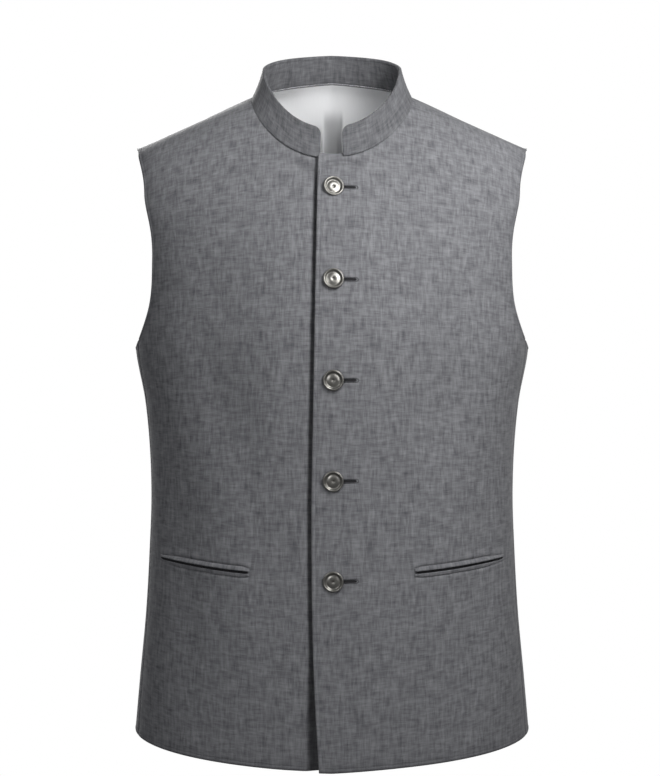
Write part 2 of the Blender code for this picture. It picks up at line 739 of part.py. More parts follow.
def add_button(number, collection):
    height = np.array([BUTTON_TOP_HEIGHT - number * BUTTON_PITCH])
    across = np.array([BUTTON_ACROSS])
    foot = Vector(OVER_CLOTH.points(across, height)[0])
    out = Vector(OVER_CLOTH.points(across, height, 1.0)[0]) - foot
    mesh = bpy.data.meshes.new(f"button_{number + 1}")
    profile = [(r * BUTTON_RADIUS, 0, z * BUTTON_RADIUS) for r, z in BUTTON_PROFILE]
    mesh.from_pydata(profile, [(i, i + 1) for i in range(len(profile) - 1)], [])
    mesh.materials.append(material("button"))
    made = bpy.data.objects.new(f"button_{number + 1}", mesh)
    collection.objects.link(made)
    made.location = foot
    made.rotation_mode = "QUATERNION"
    made.rotation_quaternion = out.to_track_quat("Z", "Y")
    screw = made.modifiers.new("turn", "SCREW")
    screw.steps = screw.render_steps = BUTTON_SEGMENTS
    screw.use_merge_vertices = True
    screw.merge_threshold = BUTTON_MERGE
    screw.use_smooth_shade = True


def main():
    for obj in list(bpy.data.objects):
        bpy.data.objects.remove(obj, do_unlink=True)
    collection = bpy.data.collections.new("waistcoat")
    bpy.context.scene.collection.children.link(collection)
    add_fronts(collection)
    add_back(collection)
    add_collar(collection)
    add_pocket(1, OVER_CLOTH, collection)
    add_pocket(-1, UNDER_CLOTH, collection)
    for number in range(BUTTON_COUNT):
        add_button(number, collection)


main()
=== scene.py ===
"""Looks of the sleeveless band-collar waistcoat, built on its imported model.

The cloth is repeated here from the same tables as the part, and filled more
finely: each panel is a thin closed shell with turned edges, seams, stitch
lines and creases in its surface. Buttons, buttonholes, pocket jets and thread
are pieces of their own.
"""

import math

import bmesh
import bpy
import numpy as np
from mathutils import Matrix, Vector
from mathutils.geometry import delaunay_2d_cdt
from mathutils.kdtree import KDTree


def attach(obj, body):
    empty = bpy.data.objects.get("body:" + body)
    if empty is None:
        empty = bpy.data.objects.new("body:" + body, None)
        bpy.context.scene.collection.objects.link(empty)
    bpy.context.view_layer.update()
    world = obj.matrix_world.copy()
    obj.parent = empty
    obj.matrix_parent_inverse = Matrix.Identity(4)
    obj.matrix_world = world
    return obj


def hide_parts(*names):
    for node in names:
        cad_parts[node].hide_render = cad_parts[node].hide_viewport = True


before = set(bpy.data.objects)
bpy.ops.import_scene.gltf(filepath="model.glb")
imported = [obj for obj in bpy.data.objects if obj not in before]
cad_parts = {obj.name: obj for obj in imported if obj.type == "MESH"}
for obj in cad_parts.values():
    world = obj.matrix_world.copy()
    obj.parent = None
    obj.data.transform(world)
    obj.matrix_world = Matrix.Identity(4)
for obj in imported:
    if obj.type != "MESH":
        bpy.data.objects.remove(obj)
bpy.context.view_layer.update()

MM = 0.001

# ---------------- cloth
SEAM_GAP = -0.08 * MM  # sewn edges press into each other
SHOULDER_SEAM_INSET = 0.02 * MM
WALL = 2.0 * MM
LINING_WALL = 1.0 * MM
LINING_CLEARANCE = 0.4 * MM
COLLAR_WALL = 3.0 * MM
NORMAL_STEP = 0.5 * MM
FILL_TOLERANCE = 1e-7
CURVE_STEPS = 64
FINE_RUN = 401
SEAM_TOP_STEPS = 2001
CORNER_POINTS = 9
SHARP_ANGLE = math.radians(60)

# ---------------- torso
SHOULDER_HEIGHT = 0.710
UNDERARM_HEIGHT = 0.414
NECK_FRONT_HEIGHT = 0.602
NECK_BACK_HEIGHT = 0.662
NECK_HALF_WIDTH = 87 * MM
# Columns: height in metres; then in millimetres the y and z of the centre, the x
# and z of the inner corner, and the x, y and z of the outer corner and the side.
FRONT_SECTIONS = (
    (0.000, -124, -716, 125, -711, 214, -68, -699, 214.2, 2, -686),
    (0.060, -123, -650, 124, -648, 209, -68, -636, 209.0, 2, -627),
    (0.130, -121, -574, 121, -573, 202, -66, -561, 202.6, 2, -557),
    (0.195, -118, -503, 119, -503, 198, -65, -495, 199.0, 2, -492),
    (0.260, -117, -432, 118, -432, 197, -64, -428, 197.0, 2, -427),
    (0.355, -120, -328, 124, -328, 203, -64, -329, 203.6, 3, -330),
    (0.414, -121, -263, 130, -263, 214, -64, -267, 214.2, 4, -271),
    (0.460, -116, -213, 132, -214, 213, -62, -222, 213.5, 4, -228),
    (0.505, -107, -166, 132, -168, 217, -62, -178, 214.5, 3, -185),
    (0.600, -66, -70, 112, -72, 208, -66, -103, 211.0, -30, -112),
    (0.655, -34, -16, 80, -18, 189, -46, -52, 214.6, -22, -70),
    (0.710, 0, 24, 50, 25, 130, 0, -22, 212.2, 0, -56),
)
BACK_SECTIONS = (
    (0.000, 114, -694, 125, -694, 214, 68, -683, 214.2, 2, -686),
    (0.060, 111, -635, 124, -635, 209, 67, -629, 209.0, 2, -627),
    (0.130, 105, -560, 121, -560, 202, 64, -558, 202.6, 2, -557),
    (0.195, 98, -487, 119, -487, 198, 60, -491, 199.0, 2, -492),
    (0.260, 94, -410, 118, -410, 197, 58, -422, 197.0, 2, -427),
    (0.355, 103, -296, 124, -296, 203, 62, -318, 203.6, 3, -330),
    (0.414, 110, -226, 130, -226, 214, 66, -256, 214.2, 4, -271),
    (0.460, 112, -174, 134, -174, 213, 68, -212, 213.5, 4, -228),
    (0.505, 112, -122, 134, -122, 217, 70, -166, 214.5, 3, -185),
    (0.600, 92, -34, 112, -36, 208, 74, -90, 209.0, 40, -106),
    (0.655, 56, 20, 80, 15, 189, 50, -46, 214.6, 27, -68),
    (0.710, 0, 24, 50, 25, 130, 0, -22, 212.2, 0, -56),
)
ARMHOLE_TOP = -56 * MM
ARMHOLE_BOTTOM = -271 * MM
ARMHOLE_FRONT_DEPTH = 51 * MM
ARMHOLE_BACK_DEPTH = 60 * MM
ARMHOLE_TOP_POWER = 2.4
ARMHOLE_BOTTOM_POWER = 2.9
ARMHOLE_ROUNDING = 0.4545
ARMHOLE_FADE = 0.68
SIDE_SEAM = ((0.00, 28), (0.10, 22), (0.26, 12), (0.35, 18), (0.43, 30))  # height, mm forward

# ---------------- closing
# Height, and how far the over front's edge reaches past the centre, in mm.
OVER_FRONT_EDGE = (
    (0.00, 13.5), (0.08, 18.5), (0.22, 21.4), (0.38, 19.0), (0.52, 16.5), (0.66, 14.0),
)
UNDER_FRONT_REACH = 17 * MM
OVERLAP_CLEARANCE = 0.9 * MM
OVERLAP_NEAR = 22 * MM
OVERLAP_FAR = 85 * MM
FRONT_CORNER = 5 * MM
OVER_EDGE_ROLL = 1.2 * MM
ROLL_START = 6 * MM
ROLL_END = -20 * MM
BUTTON_COUNT = 5
BUTTON_TOP_HEIGHT = 0.565
BUTTON_PITCH = 0.0958
BUTTON_ACROSS = 1.2 * MM
BUTTON_RADIUS = 11.0 * MM

# ---------------- pockets
POCKET_INNER = (87 * MM, 0.188)
POCKET_OUTER = (205 * MM, 0.193)
# Of each jet: its gap to the slit, width and lift in mm, and the shares by which
# it narrows and flattens towards the pocket's outer end.
JET_UPPER = (0.9, 4.3, 2.5, 0.45, 0.55)
JET_LOWER = (1.5, 3.7, 1.0, 0.45, 0.75)
JET_FADE = 36 * MM  # length of that change
JET_START = (0.30, 9 * MM)  # share by which a jet narrows at its inner end, and the length
JET_CLEARANCE = 0.15 * MM
JET_END_RADIUS = 4.2 * MM
JET_WAVE = (0.10, 9.3 * MM, 23 * MM)  # share of the lift, and its two lengths
# Section of a jet: shares of its width, from the slit to the seam, and of its lift.
JET_PROFILE = (
    (0.08, 0.00), (0.02, 0.35), (0.00, 0.68), (0.05, 0.90), (0.14, 1.00), (0.28, 0.96),
    (0.46, 0.80), (0.64, 0.60), (0.82, 0.36), (0.94, 0.12), (1.00, -0.10), (1.00, -0.30),
)
# Places along a strip in mm: at its ends, of the first and last one between them,
# and their spacing.
JET_STATIONS = ((0.0, 0.25, 0.6, 1.1, 1.8, 2.8, 4.2), 6.0, 5.0, 1.8)
COLLAR_STATIONS = ((0.0, 0.2, 0.5, 0.9, 1.4, 2.1, 3.0, 3.6, 4.0, 4.4, 5.2, 6.2, 7.4), 9.0, 8.0, 2.2)
# Of the painted shadow strip that lies in each pocket's slit.
SLIT_HALF = 1.9 * MM
SLIT_INSET = (1 * MM, 0.3 * MM)  # from the pocket's ends, and below them
SLIT_LIFT = 0.22 * MM
SLIT_SAG = 0.12 * MM
SLIT_STEPS = 25
SLIT_END_SHARE = 0.1  # of its half width, at its ends
SLIT_POWER = 6

# ---------------- collar
COLLAR_GAP_LEFT = 11.0 * MM
COLLAR_GAP_RIGHT = 12.2 * MM
COLLAR_END_RADIUS = 8 * MM
COLLAR_BOW = 1.0 * MM
COLLAR_FOOT = -0.7 * MM  # the band's foot is sewn in, a little below the seam
COLLAR_TURNING = 4.0 * MM  # its inner face reaches this much lower
# Share of the way from an end to the nape, then lean and rise in mm.
COLLAR_RISE = (
    (0.00, 8.5, 29.0),
    (0.20, 10.0, 30.5),
    (0.45, 11.5, 31.0),
    (0.65, 11.0, 31.0),
    (1.00, 6.0, 29.0),
)
COLLAR_PASSES = 12  # times that its direction is softened
COLLAR_LEVELS = 10
COLLAR_LEVEL_POWER = 1.1
COLLAR_TOP_ZONE = 6.0 * MM
COLLAR_TOP_LEVELS = (5.2, 4.5, 4.0, 3.5, 2.8, 2.0, 1.2, 0.5, 0.0)  # mm below the turned edge
COLLAR_TURN_POINTS = 9
COLLAR_UV = (0.9, 0.2)

# ---------------- drape
# Folds and creases. Each row holds the across and height where it starts and
# ends, how far its middle bows aside, its half width and its depth, the last
# three in millimetres, the depth positive outwards. The folds are the same on
# both sides, and the creases are signed across.
FRONT_FOLDS = (
    (0.165, 0.455, 0.105, 0.300, 0, 26, -2.2),
    (0.120, 0.300, 0.095, 0.120, 0, 30, 2.0),
    (0.185, 0.300, 0.150, 0.060, 0, 24, -1.8),
    (0.060, 0.460, 0.070, 0.260, 0, 24, 1.4),
)
BACK_FOLDS = (
    (0.020, 0.420, 0.030, 0.160, 0, 34, -3.0),
    (0.110, 0.460, 0.090, 0.240, 0, 30, 2.4),
    (0.150, 0.260, 0.130, 0.040, 0, 30, -2.4),
)
FOLD_ENDS = (-0.3, 0.35, 0.65, 1.3)
FOLD_HEM = (0.0, 0.05)
FOLD_SHOULDER = (0.52, 0.44)
FOLD_SIDE = (0.225, 0.185)
OVER_CREASES = (
    (-0.014, 0.588, 0.028, 0.592, -3.0, 2.4, -3.4),
    (0.030, 0.560, 0.088, 0.548, -5, 5.0, -0.55),
    (0.028, 0.572, 0.070, 0.566, -3, 4.0, 0.35),
    (0.022, 0.470, 0.075, 0.452, 4, 8.0, -0.40),
    (0.155, 0.520, 0.100, 0.400, -8, 11.0, -0.60),
    (0.190, 0.400, 0.140, 0.340, 6, 7.0, -0.55),
    (0.200, 0.372, 0.158, 0.300, 5, 6.0, 0.45),
    (0.050, 0.360, 0.120, 0.330, -5, 10.0, -0.45),
    (0.040, 0.268, 0.130, 0.252, 6, 9.0, -0.45),
    (0.100, 0.170, 0.085, 0.040, 4, 12.0, -0.60),
    (0.165, 0.150, 0.175, 0.030, -5, 11.0, 0.60),
)
UNDER_CREASES = (
    (0.016, 0.584, 0.048, 0.600, -2, 4.5, -2.0),
    (0.160, 0.540, 0.095, 0.420, -10, 12.0, -0.70),
    (0.195, 0.420, 0.150, 0.320, 7, 8.0, -0.60),
    (0.205, 0.385, 0.170, 0.305, 4, 6.0, 0.50),
    (0.045, 0.480, 0.060, 0.330, 5, 12.0, 0.50),
    (0.085, 0.330, 0.080, 0.200, -4, 10.0, -0.50),
    (0.030, 0.300, 0.110, 0.285, 5, 9.0, -0.35),
    (0.070, 0.165, 0.060, 0.030, -5, 10.0, -0.55),
    (0.140, 0.160, 0.155, 0.040, 6, 12.0, 0.65),
)
BACK_CREASES = (
    (-0.150, 0.560, -0.060, 0.500, -8, 12.0, -2.40),
    (0.165, 0.545, 0.080, 0.480, 9, 13.0, -2.10),
    (-0.190, 0.420, -0.120, 0.330, -8, 9.0, -1.95),
    (0.195, 0.400, 0.140, 0.300, 6, 8.0, -1.65),
    (-0.110, 0.300, 0.060, 0.275, 9, 12.0, -1.50),
    (0.120, 0.262, -0.020, 0.248, -7, 11.0, -1.10),
    (-0.060, 0.226, 0.090, 0.214, 6, 11.0, 1.00),
    (-0.150, 0.180, -0.130, 0.030, 6, 14.0, 2.40),
    (0.070, 0.170, 0.085, 0.020, -6, 14.0, -2.25),
    (0.000, 0.640, 0.000, 0.500, 3, 10.0, 1.35),
)
LINING_CREASES = (
    (-0.0100, 0.606, -0.0105, 0.555, 0, 3.2, -4.0),
    (0.0115, 0.606, 0.0120, 0.555, 0, 3.4, -7.0),
    (-0.050, 0.640, -0.030, 0.420, 5, 12.0, 0.8),
    (0.070, 0.630, 0.040, 0.400, -6, 14.0, -0.9),
    (-0.110, 0.500, -0.050, 0.300, 8, 14.0, 1.0),
    (0.120, 0.450, 0.060, 0.260, -8, 15.0, -1.0),
)
CREASE_ENDS = (-0.25, 0.3, 0.7, 1.25)
# The broad form of both fronts over the chest, in the same columns.
FRONT_FORM = (
    (0.000, 0.500, 0.000, 0.160, 0, 50.0, 3.0),
    (0.125, 0.515, 0.115, 0.300, 0, 40.0, -2.8),
)
CREASE_CLEAR = 12 * MM  # creases fade out over this distance from an edge
LINING_CLEAR = 9 * MM
SHADE_CLEAR = 8 * MM

# ---------------- finish
EDGE_STEP = 3.0 * MM  # spacing of the points along an outline
GRID_STEP = 3.6 * MM  # spacing of the inner points of a face that shows
PLAIN_STEP = 9.0 * MM  # and of a face that doesn't
ROW_SHARE = 0.9
RING_DEPTHS = (0.3, 0.7, 1.2, 1.9, 2.8, 3.5, 4.0, 4.5, 5.6)  # mm in from the edge
PLAIN_RING_DEPTHS = (0.3, 1.0, 3.0)
RING_GAP = 0.6  # share of a step kept between the last ring and the grid
LINE_GAP = 0.45  # and between a line of detail and the grid
LINE_CHUNK = 500
RING_KEPT = 0.93  # a ring's point stays when it is this share of its depth from the edge
PATH_KEPT = 0.95  # and a stitch path's point
POCKET_LINES = (3.2, 4.6, 5.2, 5.7, 6.2, 6.9, 7.9, 9.4)  # mm from the slit's middle
POCKET_LINE_STEP = 1.8 * MM
CREASE_LINES = (-1.6, -0.8, 0.0, 0.8, 1.6)  # half widths from a crease's middle
CREASE_LINE_STEP = 2.2 * MM
CREASE_LINE_ENDS = (-0.15, 1.15)
CLOSING_LINES = (-3.5, -1.8, -0.4, 0.8, 2.2, 3.8, 5.6, 7.6)  # mm past the over front's edge
PLEAT_LINE_STEP = 1.25 * MM
PLEAT_LINE_HEIGHTS = (0.560, 0.659)
PLEAT_MARGINS = (5.5 * MM, 6.5 * MM)

STITCH_INSET = 4.0 * MM
STITCH_PITCH = 3.0 * MM
STITCH_LENGTH = 2.3 * MM
THREAD_RADIUS = 0.22 * MM
SEAM_EDGE = 0.45 * MM  # rounding of an edge that is sewn
SEAM_DIP = 0.30 * MM  # sink of the cloth along a pressed seam
SIDE_DIP = 1.00 * MM  # and along a side seam, which hangs free
SEAM_DIP_WIDTH = 2.2 * MM
EDGE_PAD = 0.30 * MM  # swell between a free edge and its stitching
STITCH_DIP = 0.38 * MM
STITCH_DIP_WIDTH = 0.55 * MM
# Swells and dips in mm: height, distance to their middle and half width.
JET_SWELL = (0.55, 3.5, 2.4)
JET_GROOVE = (-0.75, 0.4, 0.8)
JET_END_DIP = (-0.25, 0.0, 6.0)
BUTTON_PRESS = (-0.35, 0.0, 8.0)
BUTTON_PUCKERS = ((-0.30, 0.0, 2.6), (0.22, 6.5, 4.0), (0.16, -6.0, 4.0))
JET_SWELL_BELOW = 0.6  # share of the swell under the lower jet
JET_BED = (0.5 * MM, 0.3 * MM)  # how deep the cloth is under a jet, and the step's half width
POCKET_RISE = (-3 * MM, 2 * MM)  # where a pocket's relief starts
POCKET_FADE = 0.55  # share that it loses towards the outer end
POCKET_END = (-1.5 * MM, 2 * MM)  # along it, middle and half width of the dip at its ends
BUTTON_DRAWN = (20 * MM, 14 * MM)  # middle and half width of the puckers, across
PUCKER_CHANGE = (0.2, 2.1)  # from button to button
LINING_INSET = {"armhole": 3.0 * MM, "side": 1.6 * MM, "shoulder": 1.6 * MM}
LINING_TUCK = (1.7 * MM, 5.0 * MM)  # under the neck seam: height and length
LINING_RISE = 0.35 * MM  # most of its own creases above the face
# Painted shade, darker where the cloth turns at its edges and seams: strength, width in mm.
EDGE_SHADE = {
    "hem": (0.85, 3.2),
    "armhole": (0.50, 2.6),
    "side": (0.55, 3.0),
    "shoulder": (0.35, 3.0),
}
CREASE_SHADE = (0.45, 3.0 * MM)  # and painted shade in the sharp creases under the collar, full at this depth
# Painted shade in the lining's pleat: its two folds across, the heights where it
# ends, the strength between the folds and at the second one, and two widths.
PLEAT_FOLDS = (-9.0 * MM, 11.0 * MM)
PLEAT_TOP = (0.631, 0.614)
PLEAT_SHADE = (0.55, 0.30)
PLEAT_SOFT = 1.5 * MM
PLEAT_LINE = 1.6 * MM

CORNER_HEIGHTS = (0.135, -0.015)
CORNER_SWING = 4.0 * MM
CORNER_FALL = 5.0 * MM
UNDER_SINK = (0.5 * MM, 7.0 * MM)  # beside the over front's edge, at the neck and below it
SINK_START = 8.0 * MM  # outside that edge
SINK_END = -3.0 * MM
CORNER_SINK = 5.0 * MM  # and as much again at the hem
CORNER_START = 9.0 * MM
SINK_HEIGHTS = (0.602, 0.560)
SWING_ACROSS = (48 * MM, -12 * MM)  # where the over front's swing grows, and the under's fall
FALL_ACROSS = (62 * MM, 4 * MM)

HOLE_START = 1.0 * MM  # across, of a buttonhole
HOLE_END = 25.5 * MM
HOLE_HALF = 0.95 * MM
HOLE_BAR = 1.5 * MM  # length of a buttonhole stitch
HOLE_PITCH = 0.62 * MM
HOLE_END_BARS = 7
# Of the painted shadow strip in each buttonhole.
HOLE_SLIT_HALF = 1.35 * HOLE_HALF
HOLE_SLIT_LIFT = 0.30 * MM

FLOOR_LEVEL = -1.25
CAMERA_PLACE = (-0.0022, -2.6, -0.316)
CAMERA_LENS = 110.6
FLOOR_REACH = 30.0
ROOM_RADIUS = 28.0
# Name, place, target, size in metres, power in watts, colour.
LIGHTS = (
    ("key", (0.42, -0.62, 0.27), (0.0, -0.08, -0.10), 0.45, 9.6, (1.0, 0.998, 0.99)),
    ("side", (0.9, -1.3, 0.0), (0.0, -0.08, -0.10), 0.45, 6.2, (1.0, 1.0, 1.0)),
    ("fill", (-1.2, -2.1, 0.35), (0.0, -0.05, -0.30), 0.8, 16.5, (0.98, 0.99, 1.0)),
    ("back_key", (-0.42, 0.66, 0.27), (0.0, 0.08, -0.10), 0.45, 9.0, (1.0, 0.998, 0.99)),
    ("back_side", (-0.9, 1.3, 0.0), (0.0, 0.08, -0.20), 0.45, 5.0, (1.0, 1.0, 1.0)),
    ("back_fill", (1.2, 2.1, 0.35), (0.0, 0.05, -0.30), 0.8, 13.0, (0.98, 0.99, 1.0)),
)
WORLD_STRENGTH = 0.17


# ---------------- helpers
def smooth(knots, values, at):
    knots, values = np.asarray(knots), np.asarray(values, float)
    at = np.clip(at, knots[0], knots[-1])
    slopes = np.gradient(values, knots, axis=0)
    k = np.clip(np.searchsorted(knots, at, side="right") - 1, 0, len(knots) - 2)
    step = knots[k + 1] - knots[k]
    t = (at - knots[k]) / step
    if values.ndim > 1:
        t, step = (v.reshape(v.shape + (1,) * (values.ndim - 1)) for v in (t, step))
    return (
        (2 * t**3 - 3 * t**2 + 1) * values[k]
        + (t**3 - 2 * t**2 + t) * step * slopes[k]
        + (3 * t**2 - 2 * t**3) * values[k + 1]
        + (t**3 - t**2) * step * slopes[k + 1]
    )


def ramp(value, low, high):
    t = np.clip((value - low) / (high - low), 0.0, 1.0)
    return t * t * (3 - 2 * t)


def bump(value, middle, half_width):
    return np.exp(-(((value - middle) / half_width) ** 2))


def arch(share):
    """1 half way and 0 at both ends."""
    return 4 * share * (1 - share)


def unit(vectors):
    return vectors / np.linalg.norm(vectors, axis=1, keepdims=True)


def read_at(at, knots, rows):
    """The rows' columns, each read between the knots."""
    return np.stack([np.interp(at, knots, values) for values in rows.T], axis=1)


def ripple(value, height, middle, half_width):
    """A swell or dip, given in millimetres."""
    return height * MM * bump(value, middle * MM, half_width * MM)


def rounded_end(from_end, radius):
    """Share of its full size that a strip has near a rounded end."""
    return np.sqrt(np.clip(1 - (1 - np.clip(from_end / radius, 0, 1)) ** 2, 0.01, 1))


def stations(total, ends, first, last, step):
    ends = np.array(ends) * MM
    middle = np.arange(first * MM, total - last * MM, step * MM)
    return np.concatenate([ends, middle, (total - ends)[::-1]])


def line_way(start, end):
    run = np.subtract(end, start)
    length = np.hypot(*run)
    return run / length, length


def from_line(start, end, across, height):
    """Each place's distance along a line and to the left of it, and its length."""
    way, length = line_way(start, end)
    across, height = across - start[0], height - start[1]
    return across * way[0] + height * way[1], height * way[0] - across * way[1], length


def by_line(start, end, along, left):
    """Places at these distances along a line and to the left of it."""
    way, _ = line_way(start, end)
    places = start + along[..., None] * way + left[..., None] * (-way[1], way[0])
    return places.reshape(-1, 2)


def section_points(rows):
    """The corners of each section's curve, from the centre to the side."""
    _, centre_y, centre_z, inner_x, inner_z, *outer_side = np.array(rows, float).T
    corners = (
        (np.zeros(len(rows)), centre_y, centre_z),
        (inner_x, centre_y, inner_z),
        outer_side[:3],
        outer_side[3:],
    )
    return np.stack([np.stack(c, axis=1) for c in corners], axis=1) * MM


def torso_half(rows, other_rows):
    """Heights and corners of one half's sections. The one beyond the shoulder
    is the other half's last but one."""
    heights = np.array(rows, float)[:, 0]
    heights = np.append(heights, 2 * heights[-1] - heights[-2])
    return heights, np.concatenate([section_points(rows), section_points(other_rows)[-2:-1]])


# Both halves. They and their girths are picked by from_back.
HALVES = (torso_half(FRONT_SECTIONS, BACK_SECTIONS), torso_half(BACK_SECTIONS, FRONT_SECTIONS))


def bezier(corners, t):
    t = t[..., None]
    weights = ((1 - t) ** 3, 3 * t * (1 - t) ** 2, 3 * t * t * (1 - t), t**3)
    return sum(w * corners[..., i, :] for i, w in enumerate(weights))


def section_curve(corners):
    """Points along each section, and the length of cloth up to each."""
    steps = np.linspace(0, 1, CURVE_STEPS + 1)
    points = bezier(corners[:, None], np.broadcast_to(steps, (len(corners), len(steps))))
    pieces = np.linalg.norm(np.diff(points, axis=1), axis=2)
    return points, np.concatenate([np.zeros((len(corners), 1)), np.cumsum(pieces, axis=1)], axis=1)


GIRTH_HEIGHTS = np.arange(-0.010, SHOULDER_HEIGHT + 0.060, 0.25 * MM)
GIRTHS = [section_curve(smooth(*half, GIRTH_HEIGHTS))[1][:, -1] for half in HALVES]


def half_girth(from_back, height):
    """Length of cloth from the centre to the side of the body."""
    return np.interp(np.atleast_1d(np.asarray(height, float)), GIRTH_HEIGHTS, GIRTHS[from_back])


def along_section(from_back, across, height):
    corners = smooth(*HALVES[from_back], height)
    lengths = section_curve(corners)[1]
    k = np.clip((lengths < across[:, None]).sum(axis=1) - 1, 0, CURVE_STEPS - 1)
    row = np.arange(len(across))
    start, end = lengths[row, k], lengths[row, k + 1]
    return bezier(corners, (k + (across - start) / (end - start)) / CURVE_STEPS)


def torso(across, height, from_back):
    across, height = np.asarray(across, float), np.asarray(height, float)
    distance = np.abs(across)
    near, far = half_girth(from_back, height), half_girth(not from_back, height)
    beyond = distance > near
    points = along_section(from_back, np.minimum(distance, near), height)
    if beyond.any():
        rest = (near + far - distance)[beyond]
        points[beyond] = along_section(not from_back, rest, height[beyond])
    points[:, 0] *= np.where(across < 0, -1, 1)
    return points


def creases(rows, across, height, ends=CREASE_ENDS):
    """Outward shift of folds or creases, each on a bowed line."""
    start, full, fading, end = ends
    shift = np.zeros(len(across))
    for a0, h0, a1, h1, bow, width, depth in rows:
        along, left, length = from_line((a0, h0), (a1, h1), across, height)
        along = along / length
        left = left + bow * MM * arch(along)
        fade = ramp(along, start, full) * ramp(along, end, fading)
        shift += fade * ripple(left, depth, 0, width)
    return shift


def drape(folds, across, height):
    across = np.abs(across)
    shift = creases(folds, across, height, FOLD_ENDS)
    return shift * ramp(height, *FOLD_HEM) * ramp(height, *FOLD_SHOULDER) * ramp(across, *FOLD_SIDE)


def normals_of(surface, across, height):
    inward = np.where(across < 0, NORMAL_STEP, -NORMAL_STEP)
    along = surface(across + inward, height) - surface(across, height)
    along *= np.sign(inward)[:, None]
    up = surface(across, height + NORMAL_STEP) - surface(across, height - NORMAL_STEP)
    return unit(np.cross(along, up))


def overlap_lift(across):
    stand = WALL + OVERLAP_CLEARANCE
    lift = stand * ramp(across, OVERLAP_FAR, OVERLAP_NEAR)
    return lift + OVER_EDGE_ROLL * ramp(across, ROLL_START, ROLL_END)


class Cloth:
    """One side's cloth: its surface, and points moved out from it."""

    def __init__(self, from_back, folds, lift=None):
        self.from_back, self.folds, self.lift = from_back, folds, lift

    def bare(self, across, height):
        return torso(across, height, self.from_back)

    def frame(self, across, height):
        """Points of the draped surface, and their outward normals."""
        across, height = np.asarray(across, float), np.asarray(height, float)
        facing = -1 if self.from_back else 1
        normal = facing * normals_of(self.bare, across, height)
        shift = drape(self.folds, across, height)
        if self.lift is not None:
            shift = shift + self.lift(across)
        return self.bare(across, height) + normal * shift[:, None], normal

    def points(self, across, height, out=0.0):
        place, normal = self.frame(across, height)
        return place + normal * np.reshape(out, (-1, 1))


OVER_CLOTH = Cloth(False, FRONT_FOLDS, overlap_lift)
UNDER_CLOTH = Cloth(False, FRONT_FOLDS)
BACK_CLOTH = Cloth(True, BACK_FOLDS)


# ---------------- outlines
def table_curve(rows, at, column=1):
    """A smooth curve through a table: its first column, and one in mm."""
    rows = np.array(rows, float)
    return smooth(rows[:, 0], rows[:, column] * MM, at)


def armhole_oval(z, depth):
    middle = (ARMHOLE_TOP + ARMHOLE_BOTTOM) / 2
    share = np.clip(np.abs(z - middle) / (ARMHOLE_TOP - middle), 0, 1)
    power = np.where(z < middle, ARMHOLE_BOTTOM_POWER, ARMHOLE_TOP_POWER)
    return depth * (1 - share**power) ** ARMHOLE_ROUNDING


def armhole_depth(from_back, height):
    """How far the armhole cuts in from the side of the body."""
    facing, depth = (1, ARMHOLE_BACK_DEPTH) if from_back else (-1, ARMHOLE_FRONT_DEPTH)
    points, lengths = section_curve(smooth(*HALVES[from_back], np.asarray(height, float)))
    clear = facing * points[..., 1] - armhole_oval(points[..., 2], depth)
    last = CURVE_STEPS - np.argmax(clear[:, ::-1] > 0, axis=1)
    row, following = np.arange(len(points)), np.minimum(last + 1, CURVE_STEPS)
    fall = clear[row, last] - clear[row, following]
    share = np.where(last < CURVE_STEPS, clear[row, last] / np.where(fall > 0, fall, 1), 0)
    at = lengths[row, last] + share * (lengths[row, following] - lengths[row, last])
    return (lengths[:, -1] - at) * ramp(height, SHOULDER_HEIGHT, ARMHOLE_FADE)


def seam_forward(height):
    return table_curve(SIDE_SEAM, height)


def seam_top():
    heights = np.linspace(UNDERARM_HEIGHT, SHOULDER_HEIGHT, SEAM_TOP_STEPS)
    reached = armhole_depth(False, heights) >= seam_forward(heights)
    return heights[np.argmax(reached)]


def over_edge(height):
    return -table_curve(OVER_FRONT_EDGE, height)


def under_edge(height):
    return np.full(np.shape(height), -UNDER_FRONT_REACH)


def neckline_run(lowest, start):
    turn = np.linspace(np.arcsin(start / NECK_HALF_WIDTH), math.pi / 2, FINE_RUN)
    across = NECK_HALF_WIDTH * np.sin(turn)
    share = np.clip(np.abs(across) / NECK_HALF_WIDTH, 0, 1)
    height = SHOULDER_HEIGHT - (SHOULDER_HEIGHT - lowest) * np.sqrt(1 - share**2)
    return np.stack([across, height], axis=1)


def armhole_run(from_back, low):
    turn = np.linspace(0, math.pi / 2, FINE_RUN)
    height = low + (SHOULDER_HEIGHT - low) * np.sin(turn) ** 2
    across = half_girth(from_back, height) - armhole_depth(from_back, height)
    return np.stack([across, height], axis=1)


def run_lengths(run):
    return np.append(0, np.cumsum(np.linalg.norm(np.diff(run, axis=0), axis=1)))


def resample(run):
    lengths = run_lengths(run)
    count = max(2, int(round(lengths[-1] / EDGE_STEP)) + 1)
    return read_at(np.linspace(0, lengths[-1], count), lengths, run)


def joined(runs):
    """One outline from named runs that meet end to end, and each point's run."""
    points = np.concatenate([run[:-1] for _, run in runs])
    return points, np.array([name for name, run in runs for _ in run[:-1]])


def cut_corner(run, following, radius):
    corner = run[-1]
    back = (run[-2] - corner) / np.linalg.norm(run[-2] - corner)
    ahead = (following[1] - corner) / np.linalg.norm(following[1] - corner)
    turn = np.linspace(0, math.pi / 2, CORNER_POINTS)[:, None]
    arc = corner + radius * ((1 - np.sin(turn)) * back + (1 - np.cos(turn)) * ahead)
    kept = run[np.linalg.norm(run - corner, axis=1) > radius]
    after = following[np.linalg.norm(following - corner, axis=1) > radius]
    return np.concatenate([kept, arc]), np.concatenate([arc[-1:], after])


